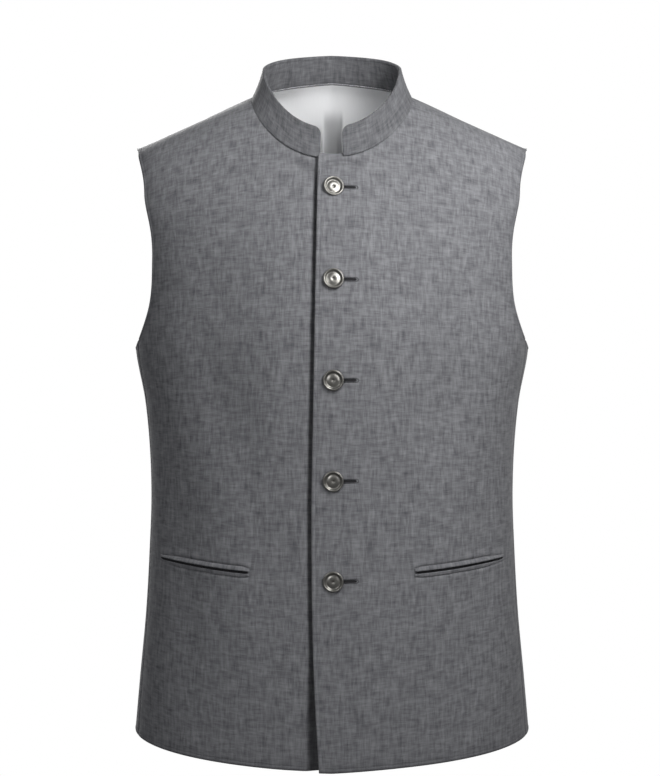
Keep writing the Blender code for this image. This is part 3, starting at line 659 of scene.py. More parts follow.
def shared_runs(from_back, lowest, neck_start):
    """The side, armhole, shoulder and neck of a front or of half the back."""

    def seam(height):
        forward = seam_forward(height) if from_back else -seam_forward(height)
        return half_girth(from_back, height) + forward - SEAM_GAP / 2

    top = seam_top()
    heights = np.linspace(0.0, top, int(top / EDGE_STEP) + 1)
    side = np.stack([seam(heights), heights], axis=1)
    height = SHOULDER_HEIGHT - SHOULDER_SEAM_INSET
    tip = min(half_girth(half, height)[0] for half in (False, True)) - SEAM_GAP
    count = int((tip - NECK_HALF_WIDTH) / EDGE_STEP) + 1
    across = np.linspace(tip, NECK_HALF_WIDTH, count)
    shoulder = np.stack([across, np.full(count, height)], axis=1)
    armhole = armhole_run(from_back, UNDERARM_HEIGHT if from_back else top)
    if from_back:
        turn = np.linspace(0, math.pi / 2, FINE_RUN)
        low = UNDERARM_HEIGHT + (top - UNDERARM_HEIGHT) * np.cos(turn) ** 2
        under = np.stack([half_girth(True, low) + armhole_depth(False, low), low], axis=1)
        armhole = np.concatenate([under, armhole[1:]])
    armhole = resample(armhole)
    armhole[0], armhole[-1] = side[-1], shoulder[0]
    neck = resample(neckline_run(lowest, neck_start))
    neck[-1] = shoulder[-1]
    return side, armhole, shoulder, neck


def front_outline(edge):
    neck_start = float(edge(np.array([NECK_FRONT_HEIGHT]))[0])
    side, armhole, shoulder, neck = shared_runs(False, NECK_FRONT_HEIGHT, neck_start)
    heights = np.linspace(0.0, neck[0, 1], int(neck[0, 1] / EDGE_STEP) + 1)
    front = np.stack([edge(heights), heights], axis=1)
    front, neck = cut_corner(front, neck, FRONT_CORNER)
    runs = {"hem": resample(np.array([front[0], side[0]])), "side": side, "armhole": armhole}
    runs.update(shoulder=shoulder, neck=neck[::-1], front=front[::-1])
    return joined(runs.items())


def back_outline():
    side, armhole, shoulder, neck = shared_runs(True, NECK_BACK_HEIGHT, 0.0)
    runs = {"hem": resample(np.array([(0.0, 0.0), side[0]])), "side": side, "armhole": armhole}
    runs.update(shoulder=shoulder, neck=neck[::-1])
    mirrored = [(name, run[::-1] * (-1, 1)) for name, run in reversed(runs.items())]
    return joined([*runs.items(), *mirrored])


# ---------------- meshes
def nearest_edge(points, outline):
    """Distance from each point to a closed outline, and the nearest piece."""
    tree = KDTree(len(outline))
    for i, (a, h) in enumerate(outline):
        tree.insert((a, h, 0), i)
    tree.balance()
    corner = np.array([tree.find((a, h, 0))[1] for a, h in points], int)
    found = []
    for first in (corner - 1, corner):
        start = outline[first]
        step = outline[(first + 1) % len(outline)] - start
        apart = points - start
        t = np.clip((apart * step).sum(axis=1) / (step**2).sum(axis=1), 0, 1)
        found.append(np.linalg.norm(apart - t[:, None] * step, axis=1))
    before = found[0] < found[1]
    nearest = np.where(before, (corner - 1) % len(outline), corner)
    return np.where(before, found[0], found[1]), nearest


def inside(points, outline):
    found = np.zeros(len(points), bool)
    for (x0, y0), (x1, y1) in zip(outline, np.roll(outline, -1, axis=0)):
        crosses = (y0 > points[:, 1]) != (y1 > points[:, 1])
        with np.errstate(divide="ignore", invalid="ignore"):
            at = x0 + (points[:, 1] - y0) * (x1 - x0) / (y1 - y0)
        found ^= crosses & (points[:, 0] < at)
    return found


def offset_in(outline, depth):
    """The outline's points moved inwards. It runs anticlockwise."""
    along = unit(np.roll(outline, -1, axis=0) - np.roll(outline, 1, axis=0))
    return outline + depth * np.stack([-along[:, 1], along[:, 0]], axis=1)


def ring(outline, depth):
    moved = offset_in(outline, depth)
    distance, _ = nearest_edge(moved, outline)
    return moved[(distance > RING_KEPT * depth) & inside(moved, outline)]


def hex_grid(outline, step):
    low, high = outline.min(axis=0), outline.max(axis=0)
    across = np.arange(low[0] + step / 2, high[0], step)
    rows = np.arange(low[1] + step / 2, high[1], step * ROW_SHARE)
    return np.array([(a, h) for i, h in enumerate(rows) for a in across + (i % 2) * step / 2])


def pattern_points(outline, depths, step, lines=None):
    """Points that fill an outline: the outline itself, rings just inside it,
    any lines of detail, then a grid over the rest."""

    def clear(points, gap):
        distance, _ = nearest_edge(points, outline)
        return points[inside(points, outline) & (distance > gap)]

    parts = [outline] + [ring(outline, depth * MM) for depth in depths]
    grid = clear(hex_grid(outline, step), depths[-1] * MM + RING_GAP * step)
    if lines is not None:
        lines = clear(lines, depths[-1] * MM)
        apart = np.full(len(grid), 1.0)
        for some in np.array_split(lines, max(1, len(lines) // LINE_CHUNK)):
            gap = np.linalg.norm(grid[:, None] - some[None], axis=2).min(axis=1)
            apart = np.minimum(apart, gap)
        grid = grid[apart > LINE_GAP * step]
        parts.append(lines)
    return np.concatenate(parts + [grid])


def filled(outline_count, flat):
    """Triangles over points in a plane, cut off at the outline."""
    inner_faces_only = 1
    edge = [list(range(outline_count))]
    made = delaunay_2d_cdt([Vector(p) for p in flat], [], edge, inner_faces_only, FILL_TOLERANCE)
    return np.array([tuple(p) for p in made[0]]), [list(face) for face in made[2]]


def edge_drop(distance, sewn, radius):
    """How far below the face the cloth's edge turns, from 0 inwards to half a
    wall at the edge itself."""
    free = radius - np.sqrt(np.maximum(radius**2 - np.maximum(radius - distance, 0) ** 2, 0))
    seam_share = np.clip(1 - distance / SEAM_EDGE, 0, 1)
    seam = radius * seam_share**2 * np.where(distance < 1e-6, 1, 0.5)
    return np.where(sewn, seam, free)


def linked(name, data):
    made = bpy.data.objects.new(name, data)
    bpy.context.scene.collection.objects.link(made)
    return made


def new_object(name, points, faces, material, uv=None, shade=None):
    mesh = bpy.data.meshes.new(name)
    mesh.from_pydata(np.asarray(points, float).tolist(), [], faces)
    # Each point's painted shade, which the material reads to darken its colour.
    if shade is not None:
        mesh.attributes.new("shade", "FLOAT", "POINT").data.foreach_set("value", shade)
    mesh.materials.append(material)
    if uv is not None:
        corners = np.zeros(len(mesh.loops), np.int32)
        mesh.loops.foreach_get("vertex_index", corners)
        layer = mesh.uv_layers.new(name="cloth")
        layer.data.foreach_set("uv", np.asarray(uv, float)[corners].ravel())
    mesh.shade_smooth()
    return linked(name, mesh)


def finish_normals(obj):
    shape = bmesh.new()
    shape.from_mesh(obj.data)
    bmesh.ops.recalc_face_normals(shape, faces=shape.faces)
    shape.to_mesh(obj.data)
    shape.free()
    obj.data.set_sharp_from_angle(angle=SHARP_ANGLE)
    return obj


def tube_faces(count, size):
    """Faces of a row of rings, closed at both ends."""
    faces = [list(range(size))[::-1], [(count - 1) * size + j for j in range(size)]]
    for i in range(0, (count - 1) * size, size):
        for j in range(size):
            k = (j + 1) % size
            faces.append([i + j, i + k, i + size + k, i + size + j])
    return faces


SEWN = ("side", "shoulder", "neck")


# Painted shade along the edges and seams, falling off inwards.
def edge_shade(flat, distance, run):
    strength, width = np.array([EDGE_SHADE.get(name, (0.0, 1.0)) for name in run]).T
    return strength * np.exp(-distance / (width * MM))


def front_shade(rows):
    """The painted shade at the edges, with that painted in the sharp crease that comes first."""

    def shade(flat, distance, run):
        deep = -creases(rows[:1], *flat.T) * ramp(distance, 0, SHADE_CLEAR)
        strength, depth = CREASE_SHADE
        return edge_shade(flat, distance, run) + strength * np.clip(deep / depth, 0, 1)

    return shade


# Painted shade in the lining's pleat, between its folds and along the second one, fading out
# towards the top.
def pleat_shade(flat, distance, run):
    across, height = flat.T
    first, second = PLEAT_FOLDS
    within = ramp(across, first - PLEAT_SOFT, first + PLEAT_SOFT)
    within *= ramp(across, second + PLEAT_SOFT, second)
    between, at_fold = PLEAT_SHADE
    tone = between * within + at_fold * bump(across, second, PLEAT_LINE)
    return tone * ramp(height, *PLEAT_TOP)


def panel(
    name, cloth, outline, runs, relief, material,
    wall=WALL, sunk=0.0, lines=None, show_inner=False, shade=edge_shade,
):
    """A panel as a closed shell. Both faces share the points of the outline,
    half way through the cloth."""
    size = len(outline)
    layers, faces = [], []
    for inner in (False, True):
        fine = inner == show_inner
        depths, step = (RING_DEPTHS, GRID_STEP) if fine else (PLAIN_RING_DEPTHS, PLAIN_STEP)
        flat = pattern_points(outline, depths, step, None if inner and not fine else lines)
        flat, fill = filled(size, flat)
        distance, nearest = nearest_edge(flat, outline)
        distance[:size] = 0
        run = runs[nearest]
        drop = edge_drop(distance, np.isin(run, SEWN), wall / 2)
        out = relief(*flat.T, distance, run) - sunk - (wall - drop if inner else drop)
        # The shade function gives each point's painted shade.
        layer = (cloth.points(*flat.T, out), flat, shade(flat, distance, run))
        if inner:
            # Past the shared points, its own follow those of the outer face.
            index = np.arange(len(flat))
            index[size:] += len(layers[0][0]) - size
            fill = [index[face[::-1]].tolist() for face in fill]
            layer = [values[size:] for values in layer]
        faces += fill
        layers.append(layer)
    points, uv, tones = (np.concatenate(values) for values in zip(*layers))
    return new_object(name, points, faces, material, uv, tones)


def mirror_x(obj):
    obj.data.transform(Matrix.Scale(-1, 4, (1, 0, 0)))
    obj.data.flip_normals()
    return obj


# ---------------- materials
def feed(tree, made, inputs):
    """Sets a node's inputs, or links them to other nodes' outputs."""
    for name, value in inputs.items():
        if isinstance(value, bpy.types.NodeSocket):
            tree.links.new(value, made.inputs[name])
        else:
            made.inputs[name].default_value = value


def node(tree, kind, inputs, **settings):
    made = tree.nodes.new(f"ShaderNode{kind}")
    for name, value in settings.items():
        setattr(made, name, value)
    feed(tree, made, inputs)
    return made.outputs


def shader_of(name):
    made = bpy.data.materials.new(name)
    made.use_nodes = True
    return made, made.node_tree, made.node_tree.nodes["Principled BSDF"]


def noise_at(tree, source, scale, detail=1.0, roughness=0.5):
    """A noise pattern, its scale given for each direction, per metre."""
    place = node(tree, "Mapping", {"Vector": source, "Scale": scale})["Vector"]
    inputs = {"Vector": place, "Scale": 1.0, "Detail": detail, "Roughness": roughness}
    return node(tree, "TexNoise", inputs)["Fac"]


def weighted(tree, parts, start):
    """start + the sum of (pattern - 0.5) * weight."""
    total = start - sum(weight for _, weight in parts) / 2
    for pattern, weight in parts:
        total = node(tree, "Math", {0: pattern, 1: weight, 2: total}, operation="MULTIPLY_ADD")[0]
    return total


def mixed(tree, share, first, second):
    inputs = {"Factor": share, "A": first, "B": (*second, 1)}
    return node(tree, "Mix", inputs, data_type="RGBA")["Result"]


def shaded(tree, colour, deep):
    """The colour, darkened towards a deeper one by the painted shade that the piece carries."""
    amount = node(tree, "Attribute", {}, attribute_name="shade")["Fac"]
    return mixed(tree, amount, colour, deep)


def bumped(tree, height, strength, distance):
    inputs = {"Height": height, "Strength": strength, "Distance": distance}
    return node(tree, "Bump", inputs)["Normal"]


# Scales per metre across, up and out, and the detail: warp and weft, the same
# where they are thick, patches, grain.
CLOTH_PATTERNS = (
    ((1700, 90, 1), 1.0),
    ((100, 1600, 1), 1.0),
    ((300, 58, 1), 1.0),
    ((62, 290, 1), 1.0),
    ((85, 70, 1), 2.0),
    ((3000, 3000, 1), 1.0),
)


def cloth_material(name, dark, light):
    """Plain weave of uneven yarns: long thin slubs both ways over fine grain."""
    made, tree, shader = shader_of(name)
    uv = node(tree, "UVMap", {}, uv_map="cloth")["UV"]
    patterns = [noise_at(tree, uv, *pattern) for pattern in CLOTH_PATTERNS]
    warp, weft, thick_warp, thick_weft, patch, grain = patterns
    slubs = ((thick_warp, 0.9), (thick_weft, 0.765))
    yarns = ((warp, 0.72), (weft, 0.72), (patch, 0.6), (grain, 0.25))
    tone = weighted(tree, slubs + yarns, 0.5)
    colour = mixed(tree, tone, (*dark, 1), light)
    raised = weighted(tree, ((warp, 0.5), (weft, 0.5), (grain, 0.5)), 0.5)
    inputs = {
        # Painted shade darkens it towards three quarters of the dark yarn's colour at edges, seams
        # and creases.
        "Base Color": shaded(tree, colour, [0.75 * part for part in dark]),
        "Roughness": weighted(tree, ((grain, 0.10), (patch, 0.06)), 0.88),
        "Normal": bumped(tree, raised, 0.35, 0.25 * MM),
        "Specular IOR Level": 0.18,
        "Sheen Weight": 0.10,
        "Sheen Roughness": 0.45,
    }
    feed(tree, shader, inputs)
    return made


def lining_material(name, dark, light, deep):
    """Smooth lining with a faint rib along its length."""
    made, tree, shader = shader_of(name)
    uv = node(tree, "UVMap", {}, uv_map="cloth")["UV"]
    rib = noise_at(tree, uv, (2200, 60, 1))
    patch = noise_at(tree, uv, (22, 14, 1), 2.0)
    tone = weighted(tree, ((rib, 0.5), (patch, 0.4)), 0.5)
    inputs = {
        # Painted shade darkens it towards the deep colour in the pleat.
        "Base Color": shaded(tree, mixed(tree, tone, (*dark, 1), light), deep),
        "Roughness": weighted(tree, ((patch, 0.12),), 0.42),
        "Normal": bumped(tree, rib, 0.15, 0.1 * MM),
        "Specular IOR Level": 0.4,
    }
    feed(tree, shader, inputs)
    return made


def solid_material(name, dark, light, scale, roughness, metal=0.0, level=0.3):
    """A colour that varies softly through the piece."""
    made, tree, shader = shader_of(name)
    patch = noise_at(tree, node(tree, "TexCoord", {})["Object"], (scale,) * 3, 3.0, 0.6)
    inputs = {
        "Base Color": mixed(tree, patch, (*dark, 1), light),
        "Roughness": weighted(tree, ((patch, 0.2),), roughness),
        "Metallic": metal,
        "Specular IOR Level": level,
    }
    feed(tree, shader, inputs)
    return made


CLOTH = cloth_material("waistcoat_cloth", (0.062, 0.062, 0.069), (0.178, 0.180, 0.190))
# A darker copy of the cloth for the collar: painted shade.
SHADED_COLLAR_CLOTH = cloth_material("collar_cloth_painted_shade", (0.045, 0.045, 0.050), (0.134, 0.136, 0.144))
# Its last colour is that of the painted shade in the pleat.
LINING = lining_material(
    "waistcoat_lining", (0.78, 0.785, 0.80), (0.90, 0.905, 0.92), (0.25, 0.255, 0.265)
)
THREAD = solid_material("waistcoat_thread", (0.085, 0.086, 0.094), (0.125, 0.126, 0.136), 900, 0.7)
HOLE_THREAD = solid_material(
    "buttonhole_thread", (0.040, 0.040, 0.045), (0.062, 0.062, 0.068), 900, 0.75
)
# Painted shadow: near-black sheets laid in the buttonholes and pocket slits, where there is only
# shade.
SHADE = solid_material(
    "buttonhole_slit_painted_shadow", (0.012, 0.012, 0.013), (0.022, 0.022, 0.024), 700, 0.9, level=0.1
)
BUTTON = solid_material(
    "polished_button", (0.125, 0.122, 0.112), (0.24, 0.234, 0.219), 260, 0.34, 0.85, 0.5
)


# ---------------- relief
def stitched_edge(distance):
    """Swell and stitch line along a free edge."""
    pad = EDGE_PAD * bump(distance, STITCH_INSET / 2, STITCH_INSET / 3)
    return pad - STITCH_DIP * bump(distance, STITCH_INSET, STITCH_DIP_WIDTH)


def edge_relief(distance, run):
    """The stitched form of free edges, and the dip of sewn ones."""
    sewn = np.where(run == "side", SIDE_DIP, np.where(np.isin(run, SEWN), SEAM_DIP, 0))
    shift = np.where(np.isin(run, ("armhole", "front", "hem")), stitched_edge(distance), 0)
    return shift - sewn * np.exp(-distance / SEAM_DIP_WIDTH)


def jet_size(along, length, upper):
    """How far a jet starts from the slit, its width and its lift."""
    gap, width, lift, narrowing, flattening = JET_UPPER if upper else JET_LOWER
    fade = ramp(along, length - JET_FADE, length)
    wide = (1 - JET_START[0] * ramp(along, JET_START[1], 0)) * (1 - narrowing * fade)
    return gap * MM, width * MM * wide, lift * MM * (1 - flattening * fade)


def pocket_relief(across, height):
    """The cloth sinks into the seam round the jets and is flat under them."""
    along, above, length = from_line(POCKET_INNER, POCKET_OUTER, across, height)
    reaches = [sum(jet_size(along, length, upper)[:2]) for upper in (True, False)]
    from_end = np.minimum(along, length - along)
    within = ramp(from_end, *POCKET_RISE)
    within *= 1 - POCKET_FADE * ramp(along, length - JET_FADE, length)
    side = np.abs(above) - np.where(above > 0, *reaches)
    swell = ripple(side, *JET_SWELL) * np.where(above > 0, 1, JET_SWELL_BELOW)
    bed, step = JET_BED
    shift = within * (swell + ripple(side, *JET_GROOVE) - bed * ramp(side, step, -step))
    return shift + ripple(above, *JET_END_DIP) * bump(from_end, *POCKET_END)


def pocket_lines():
    """Rows of points along the pocket, so that its seam can be shaped."""
    _, length = line_way(POCKET_INNER, POCKET_OUTER)
    along = np.arange(-4 * MM, length + 4 * MM, POCKET_LINE_STEP)
    rows = np.array([side * depth * MM for depth in POCKET_LINES for side in (-1, 1)])
    return by_line(POCKET_INNER, POCKET_OUTER, along[None], rows[:, None])


def crease_lines(row):
    """Rows of points along a narrow crease."""
    start, end, bow, width = row[:2], row[2:4], row[4] * MM, row[5] * MM
    _, length = line_way(start, end)
    along = np.arange(*CREASE_LINE_ENDS, CREASE_LINE_STEP / length)[:, None]
    left = -bow * arch(along) - width * np.array(CREASE_LINES)
    return by_line(start, end, along * length, left)


def pleat_lines():
    """Rows of points over the lining's pleat where it shows."""
    (first, second), (before, after) = PLEAT_FOLDS, PLEAT_MARGINS
    across = np.arange(first - before, second + after, PLEAT_LINE_STEP)
    return np.array([(a, h) for h in np.arange(*PLEAT_LINE_HEIGHTS, EDGE_STEP) for a in across])


def closing_lines():
    """Rows of points on the under front beside the over front's edge."""
    heights = np.arange(4 * MM, NECK_FRONT_HEIGHT - 8 * MM, EDGE_STEP)
    across = -over_edge(heights)[:, None] + np.array(CLOSING_LINES) * MM
    return np.array([(a, h) for row, h in zip(across, heights) for a in row])


def button_heights():
    return [BUTTON_TOP_HEIGHT - number * BUTTON_PITCH for number in range(BUTTON_COUNT)]


def button_relief(across, height):
    """The cloth gives a little under each button, and draws in beside it."""
    shift = np.zeros(len(across))
    change, turn = PUCKER_CHANGE
    for number, level in enumerate(button_heights()):
        aside, above = across - BUTTON_ACROSS, height - level
        drawn = bump(aside, *BUTTON_DRAWN) * (1 - change + change * math.sin(turn * number))
        shift += ripple(np.hypot(aside, above), *BUTTON_PRESS)
        shift += drawn * sum(ripple(above, *pucker) for pucker in BUTTON_PUCKERS)
    return shift


def closing_relief(across, height, over):
    """The over front's corner swings out at the hem, and the under front
    falls back beside it."""
    low = ramp(height, *CORNER_HEIGHTS)
    if over:
        return CORNER_SWING * low * ramp(across, *SWING_ACROSS)
    at_neck, below = UNDER_SINK
    sink = at_neck + (below - at_neck) * ramp(height, *SINK_HEIGHTS)
    start = SINK_START + CORNER_START * low
    sink = (sink + CORNER_SINK * low) * ramp(across + over_edge(height), start, SINK_END)
    return -sink - CORNER_FALL * low * ramp(across, *FALL_ACROSS)


JETS = "jets"  # stands for an edge's name where the pocket's own relief is left out
FAR_IN = 20 * MM


def edged(rows, across, height, distance, run):
    """A piece's creases, which fade towards its edge, and the edge's relief."""
    shift = creases(rows, across, height) * ramp(distance, 0, CREASE_CLEAR)
    return shift + edge_relief(distance, run)


def front_relief(rows, over):
    def relief(across, height, distance, run):
        shift = edged(rows, across, height, distance, run)
        shift += closing_relief(across, height, over) + creases(FRONT_FORM, across, height)
        if run[0] != JETS:
            shift += pocket_relief(across, height)
        if over:
            shift += button_relief(across, height)
        return shift

    return relief


def cloth_shift(relief, flat, run="middle", distance=FAR_IN):
    """The relief at places that are all this far from this edge."""
    return relief(*flat.T, np.full(len(flat), distance), np.full(len(flat), run))


def back_relief(across, height, distance, run):
    return edged(BACK_CREASES, across, height, distance, run)


def lining_relief(across, height, distance, run):
    """The lining follows the back's creases, hangs in an ease pleat and tucks
    under the neck seam."""
    with_back = creases(BACK_CREASES, across, height) * ramp(distance, 0, CREASE_CLEAR)
    deep = creases(LINING_CREASES, across, height) * ramp(distance, 0, LINING_CLEAR)
    rise, length = LINING_TUCK
    tuck = np.where(run == "neck", rise * np.exp(-distance / length), 0)
    return with_back + np.minimum(deep, LINING_RISE) + tuck


# ---------------- thread
# Share of the length, share of the radius, lift in radii.
THREAD_STATIONS = (
    (0.00, 0.30, -0.9),
    (0.16, 0.80, -0.1),
    (0.50, 1.00, 0.25),
    (0.84, 0.80, -0.1),
    (1.00, 0.30, -0.9),
)
THREAD_SIDES = 6
STITCH_LIFT = 0.7 * THREAD_RADIUS
HOLE_LIFT = 0.9 * THREAD_RADIUS


def threads(starts, ends, ups):
    """Points and faces of many short thread beads."""
    across = unit(np.cross(unit(ends - starts), ups))
    count = len(starts)
    starts, along, across, ups = (v[:, None, None] for v in (starts, ends - starts, across, ups))
    share, thick, lift = np.array(THREAD_STATIONS).T[:, :, None, None]
    turn = (np.arange(THREAD_SIDES) * 2 * math.pi / THREAD_SIDES)[:, None]
    middle = starts + along * share + ups * lift * THREAD_RADIUS
    points = middle + thick * THREAD_RADIUS * (across * np.cos(turn) + ups * np.sin(turn))
    single = tube_faces(len(THREAD_STATIONS), THREAD_SIDES)
    size = len(THREAD_STATIONS) * THREAD_SIDES
    faces = [[bead * size + i for i in face] for bead in range(count) for face in single]
    return points.reshape(-1, 3), faces


def beads(cloth, relief, ends, lift, *where):
    """Both ends of the beads between two rows of places on the cloth, and the
    outward direction there."""
    sides = []
    for flat in ends:
        place, normal = cloth.frame(*flat.T)
        sides.append(place + normal * (cloth_shift(relief, flat, *where) + lift)[:, None])
    return (*sides, normal)


def stitch_line(cloth, path, relief, run):
    """The beads of the stitches along a flat path."""
    lengths = run_lengths(path)
    count = int(lengths[-1] / STITCH_PITCH)
    start = (np.arange(count) + 0.5 * (1 - STITCH_LENGTH / STITCH_PITCH)) * STITCH_PITCH
    ends = [read_at(at, lengths, path) for at in (start, start + STITCH_LENGTH)]
    return beads(cloth, relief, ends, STITCH_LIFT, run, STITCH_INSET)


def stitch_path(outline, keep):
    """The kept part of an outline, moved in to its stitches."""
    path = offset_in(outline, STITCH_INSET)[keep]
    distance, _ = nearest_edge(path, outline)
    return path[distance > PATH_KEPT * STITCH_INSET]


# ---------------- pieces
def thread_object(name, batches, flip=False, material=THREAD):
    points, faces, offset = [], [], 0
    for batch in batches:
        some, made = threads(*batch)
        points.append(some)
        faces += [[i + offset for i in face] for face in made]
        offset += len(some)
    points = np.concatenate(points)
    if flip:
        points = points * (-1, 1, 1)
        faces = [face[::-1] for face in faces]
    return new_object(name, points, faces, material)


def lay_stitches(name, cloth, outline, runs, names, relief, flip=False):
    batches = []
    for run in names:
        keeps = [runs == run]
        if cloth is BACK_CLOTH and run != "hem":
            right = outline[:, 0] > 0
            keeps = [keeps[0] & right, keeps[0] & ~right]
        for keep in keeps:
            batches.append(stitch_line(cloth, stitch_path(outline, keep), relief, run))
    return thread_object(name, batches, flip)


def jet_object(name, cloth, relief, side, upper):
    """A folded strip of cloth along the slit, plump and rounded."""
    _, length = line_way(POCKET_INNER, POCKET_OUTER)
    at = stations(length, *JET_STATIONS)
    gap, wide, tall = jet_size(at, length, upper)
    share, lift = np.array(JET_PROFILE).T[:, None]
    away = (gap + share * wide[:, None]) * (1 if upper else -1)
    flat = by_line(POCKET_INNER, POCKET_OUTER, at[:, None], away)
    swing, first, second = JET_WAVE
    wave = 1 + swing * np.sin(at / first + (0 if upper else 2)) * np.sin(at / second)
    plump = rounded_end(np.minimum(at, length - at), JET_END_RADIUS) * wave
    outs = (np.maximum(lift, 0) * tall[:, None] + np.minimum(lift, 0) * MM) * plump[:, None]
    outs = JET_CLEARANCE + outs.reshape(-1) + cloth_shift(relief, flat, JETS)
    points = cloth.points(*flat.T, outs) * (side, 1, 1)
    faces = tube_faces(len(at), len(JET_PROFILE))
    uv = flat + (0.3 if upper else 0.5, 0.7)
    return finish_normals(new_object(name, points, faces, CLOTH, uv))


def slit_shadow_strip(name, cloth, relief, start, end, half, out, side=1):
    """A painted shadow in an opening: a near-black thin lens that closes at both ends."""
    share = np.linspace(0, 1, SLIT_STEPS)
    swell = np.sqrt(1 - (2 * share - 1) ** SLIT_POWER)
    wide = half * (SLIT_END_SHARE + (1 - SLIT_END_SHARE) * swell)
    _, length = line_way(start, end)
    flat = by_line(start, end, (share * length)[:, None], wide[:, None] * (-1, 0, 1))
    lift = np.tile([out, out - SLIT_SAG, out], SLIT_STEPS) + cloth_shift(relief, flat, JETS)
    points = cloth.points(*flat.T, lift) * (side, 1, 1)
    corners = [i * 3 + j for i in range(SLIT_STEPS - 1) for j in range(2)]
    faces = [[a, a + 3, a + 4, a + 1][::side] for a in corners]
    return new_object(name, points, faces, SHADE)


def buttonhole(number, level, relief):
    """Bars of thread along both lips of the slit and round its ends, and a painted shadow strip in
    the slit.
    """
    lips = np.arange(HOLE_START, HOLE_END, HOLE_PITCH)
    bars = [((a, level), (0, sign)) for sign in (-1, 1) for a in lips]
    for end, facing in ((HOLE_END, 0.0), (HOLE_START, math.pi)):
        turns = np.linspace(-math.pi / 2, math.pi / 2, HOLE_END_BARS + 2)[1:-1] + facing
        bars += [((end, level), (math.cos(turn), math.sin(turn))) for turn in turns]
    base, way = np.array(bars).transpose(1, 0, 2)
    ends = [base + way * reach for reach in (HOLE_HALF, HOLE_HALF + HOLE_BAR)]
    batch = beads(OVER_CLOTH, relief, ends, HOLE_LIFT)
    made = thread_object(f"buttonhole_{number}", [batch], material=HOLE_THREAD)
    name, start, end = f"buttonhole_slit_painted_shadow_{number}", (HOLE_START, level), (HOLE_END, level)
    return made, slit_shadow_strip(name, OVER_CLOTH, relief, start, end, HOLE_SLIT_HALF, HOLE_SLIT_LIFT)


# Half section of a button: radius and height in shares of its radius.
BUTTON_PROFILE = (
    (0.000, 0.060), (0.080, 0.060), (0.100, 0.080), (0.108, 0.180), (0.125, 0.212),
    (0.160, 0.228), (0.270, 0.236), (0.370, 0.230), (0.460, 0.214), (0.540, 0.190),
    (0.600, 0.166), (0.645, 0.158), (0.690, 0.176), (0.740, 0.235), (0.790, 0.305),
    (0.840, 0.355), (0.890, 0.372), (0.940, 0.356), (0.980, 0.310), (1.000, 0.250),
    (0.985, 0.200), (0.930, 0.160), (0.780, 0.130), (0.500, 0.115), (0.260, 0.110),
    (0.240, 0.030), (0.000, 0.030),
)
BUTTON_STEPS = 72
# How each button hangs: turned to its right and up, in degrees.
BUTTON_TILTS = ((9.0, -8.0), (4.0, 3.5), (0.0, 0.0), (-3.0, -3.0), (-4.0, -5.0))


def button(number, level, relief):
    flat = np.array([[BUTTON_ACROSS, level]])
    place, normal = OVER_CLOTH.frame(*flat.T)
    place = place + normal * cloth_shift(relief, flat)[:, None]
    profile = np.array(BUTTON_PROFILE) * BUTTON_RADIUS
    turn = np.arange(BUTTON_STEPS) * 2 * math.pi / BUTTON_STEPS
    points, faces = [(0, 0, profile[0, 1])], []
    for radius, rise in profile[1:-1]:
        points += [(radius * math.cos(t), radius * math.sin(t), rise) for t in turn]
    points.append((0, 0, profile[-1, 1]))
    rings = [1 + i * BUTTON_STEPS for i in range(len(profile) - 2)]
    for j in range(BUTTON_STEPS):
        k = (j + 1) % BUTTON_STEPS
        faces.append([0, 1 + j, 1 + k])
        faces += [[a + j, b + j, b + k, a + k] for a, b in zip(rings, rings[1:])]
        faces.append([rings[-1] + j, len(points) - 1, rings[-1] + k])
    made = finish_normals(new_object(f"button_look_{number}", points, faces, BUTTON))
    right, up = (math.tan(math.radians(angle)) for angle in BUTTON_TILTS[number - 1])
    facing = Vector(normal[0]) + Vector((right, 0, up))
    turn_to = facing.normalized().to_track_quat("Z", "Y")
    made.data.transform(Matrix.Translation(Vector(place[0])) @ turn_to.to_matrix().to_4x4())
    return made


def collar_line():
    """The neck seam, from the right front's end round the nape to the left's."""
    other_side = (-1, 1, 1)
    left, right, nape = (
        cloth.points(*neckline_run(lowest, 0.0).T)
        for cloth, lowest in (
            (OVER_CLOTH, NECK_FRONT_HEIGHT),
            (UNDER_CLOTH, NECK_FRONT_HEIGHT),
            (BACK_CLOTH, NECK_BACK_HEIGHT),
        )
    )
    right = right * other_side
    right = right[right[:, 0] < -COLLAR_GAP_RIGHT]
    left = left[left[:, 0] > COLLAR_GAP_LEFT]
    return np.concatenate([right, nape[::-1][1:] * other_side, nape[1:], left[::-1][1:]])


def softened(values, passes):
    """Each value averaged with its neighbours, ends kept."""
    for _ in range(passes):
        values = values.copy()
        values[1:-1] = (values[:-2] + 2 * values[1:-1] + values[2:]) / 4
    return values


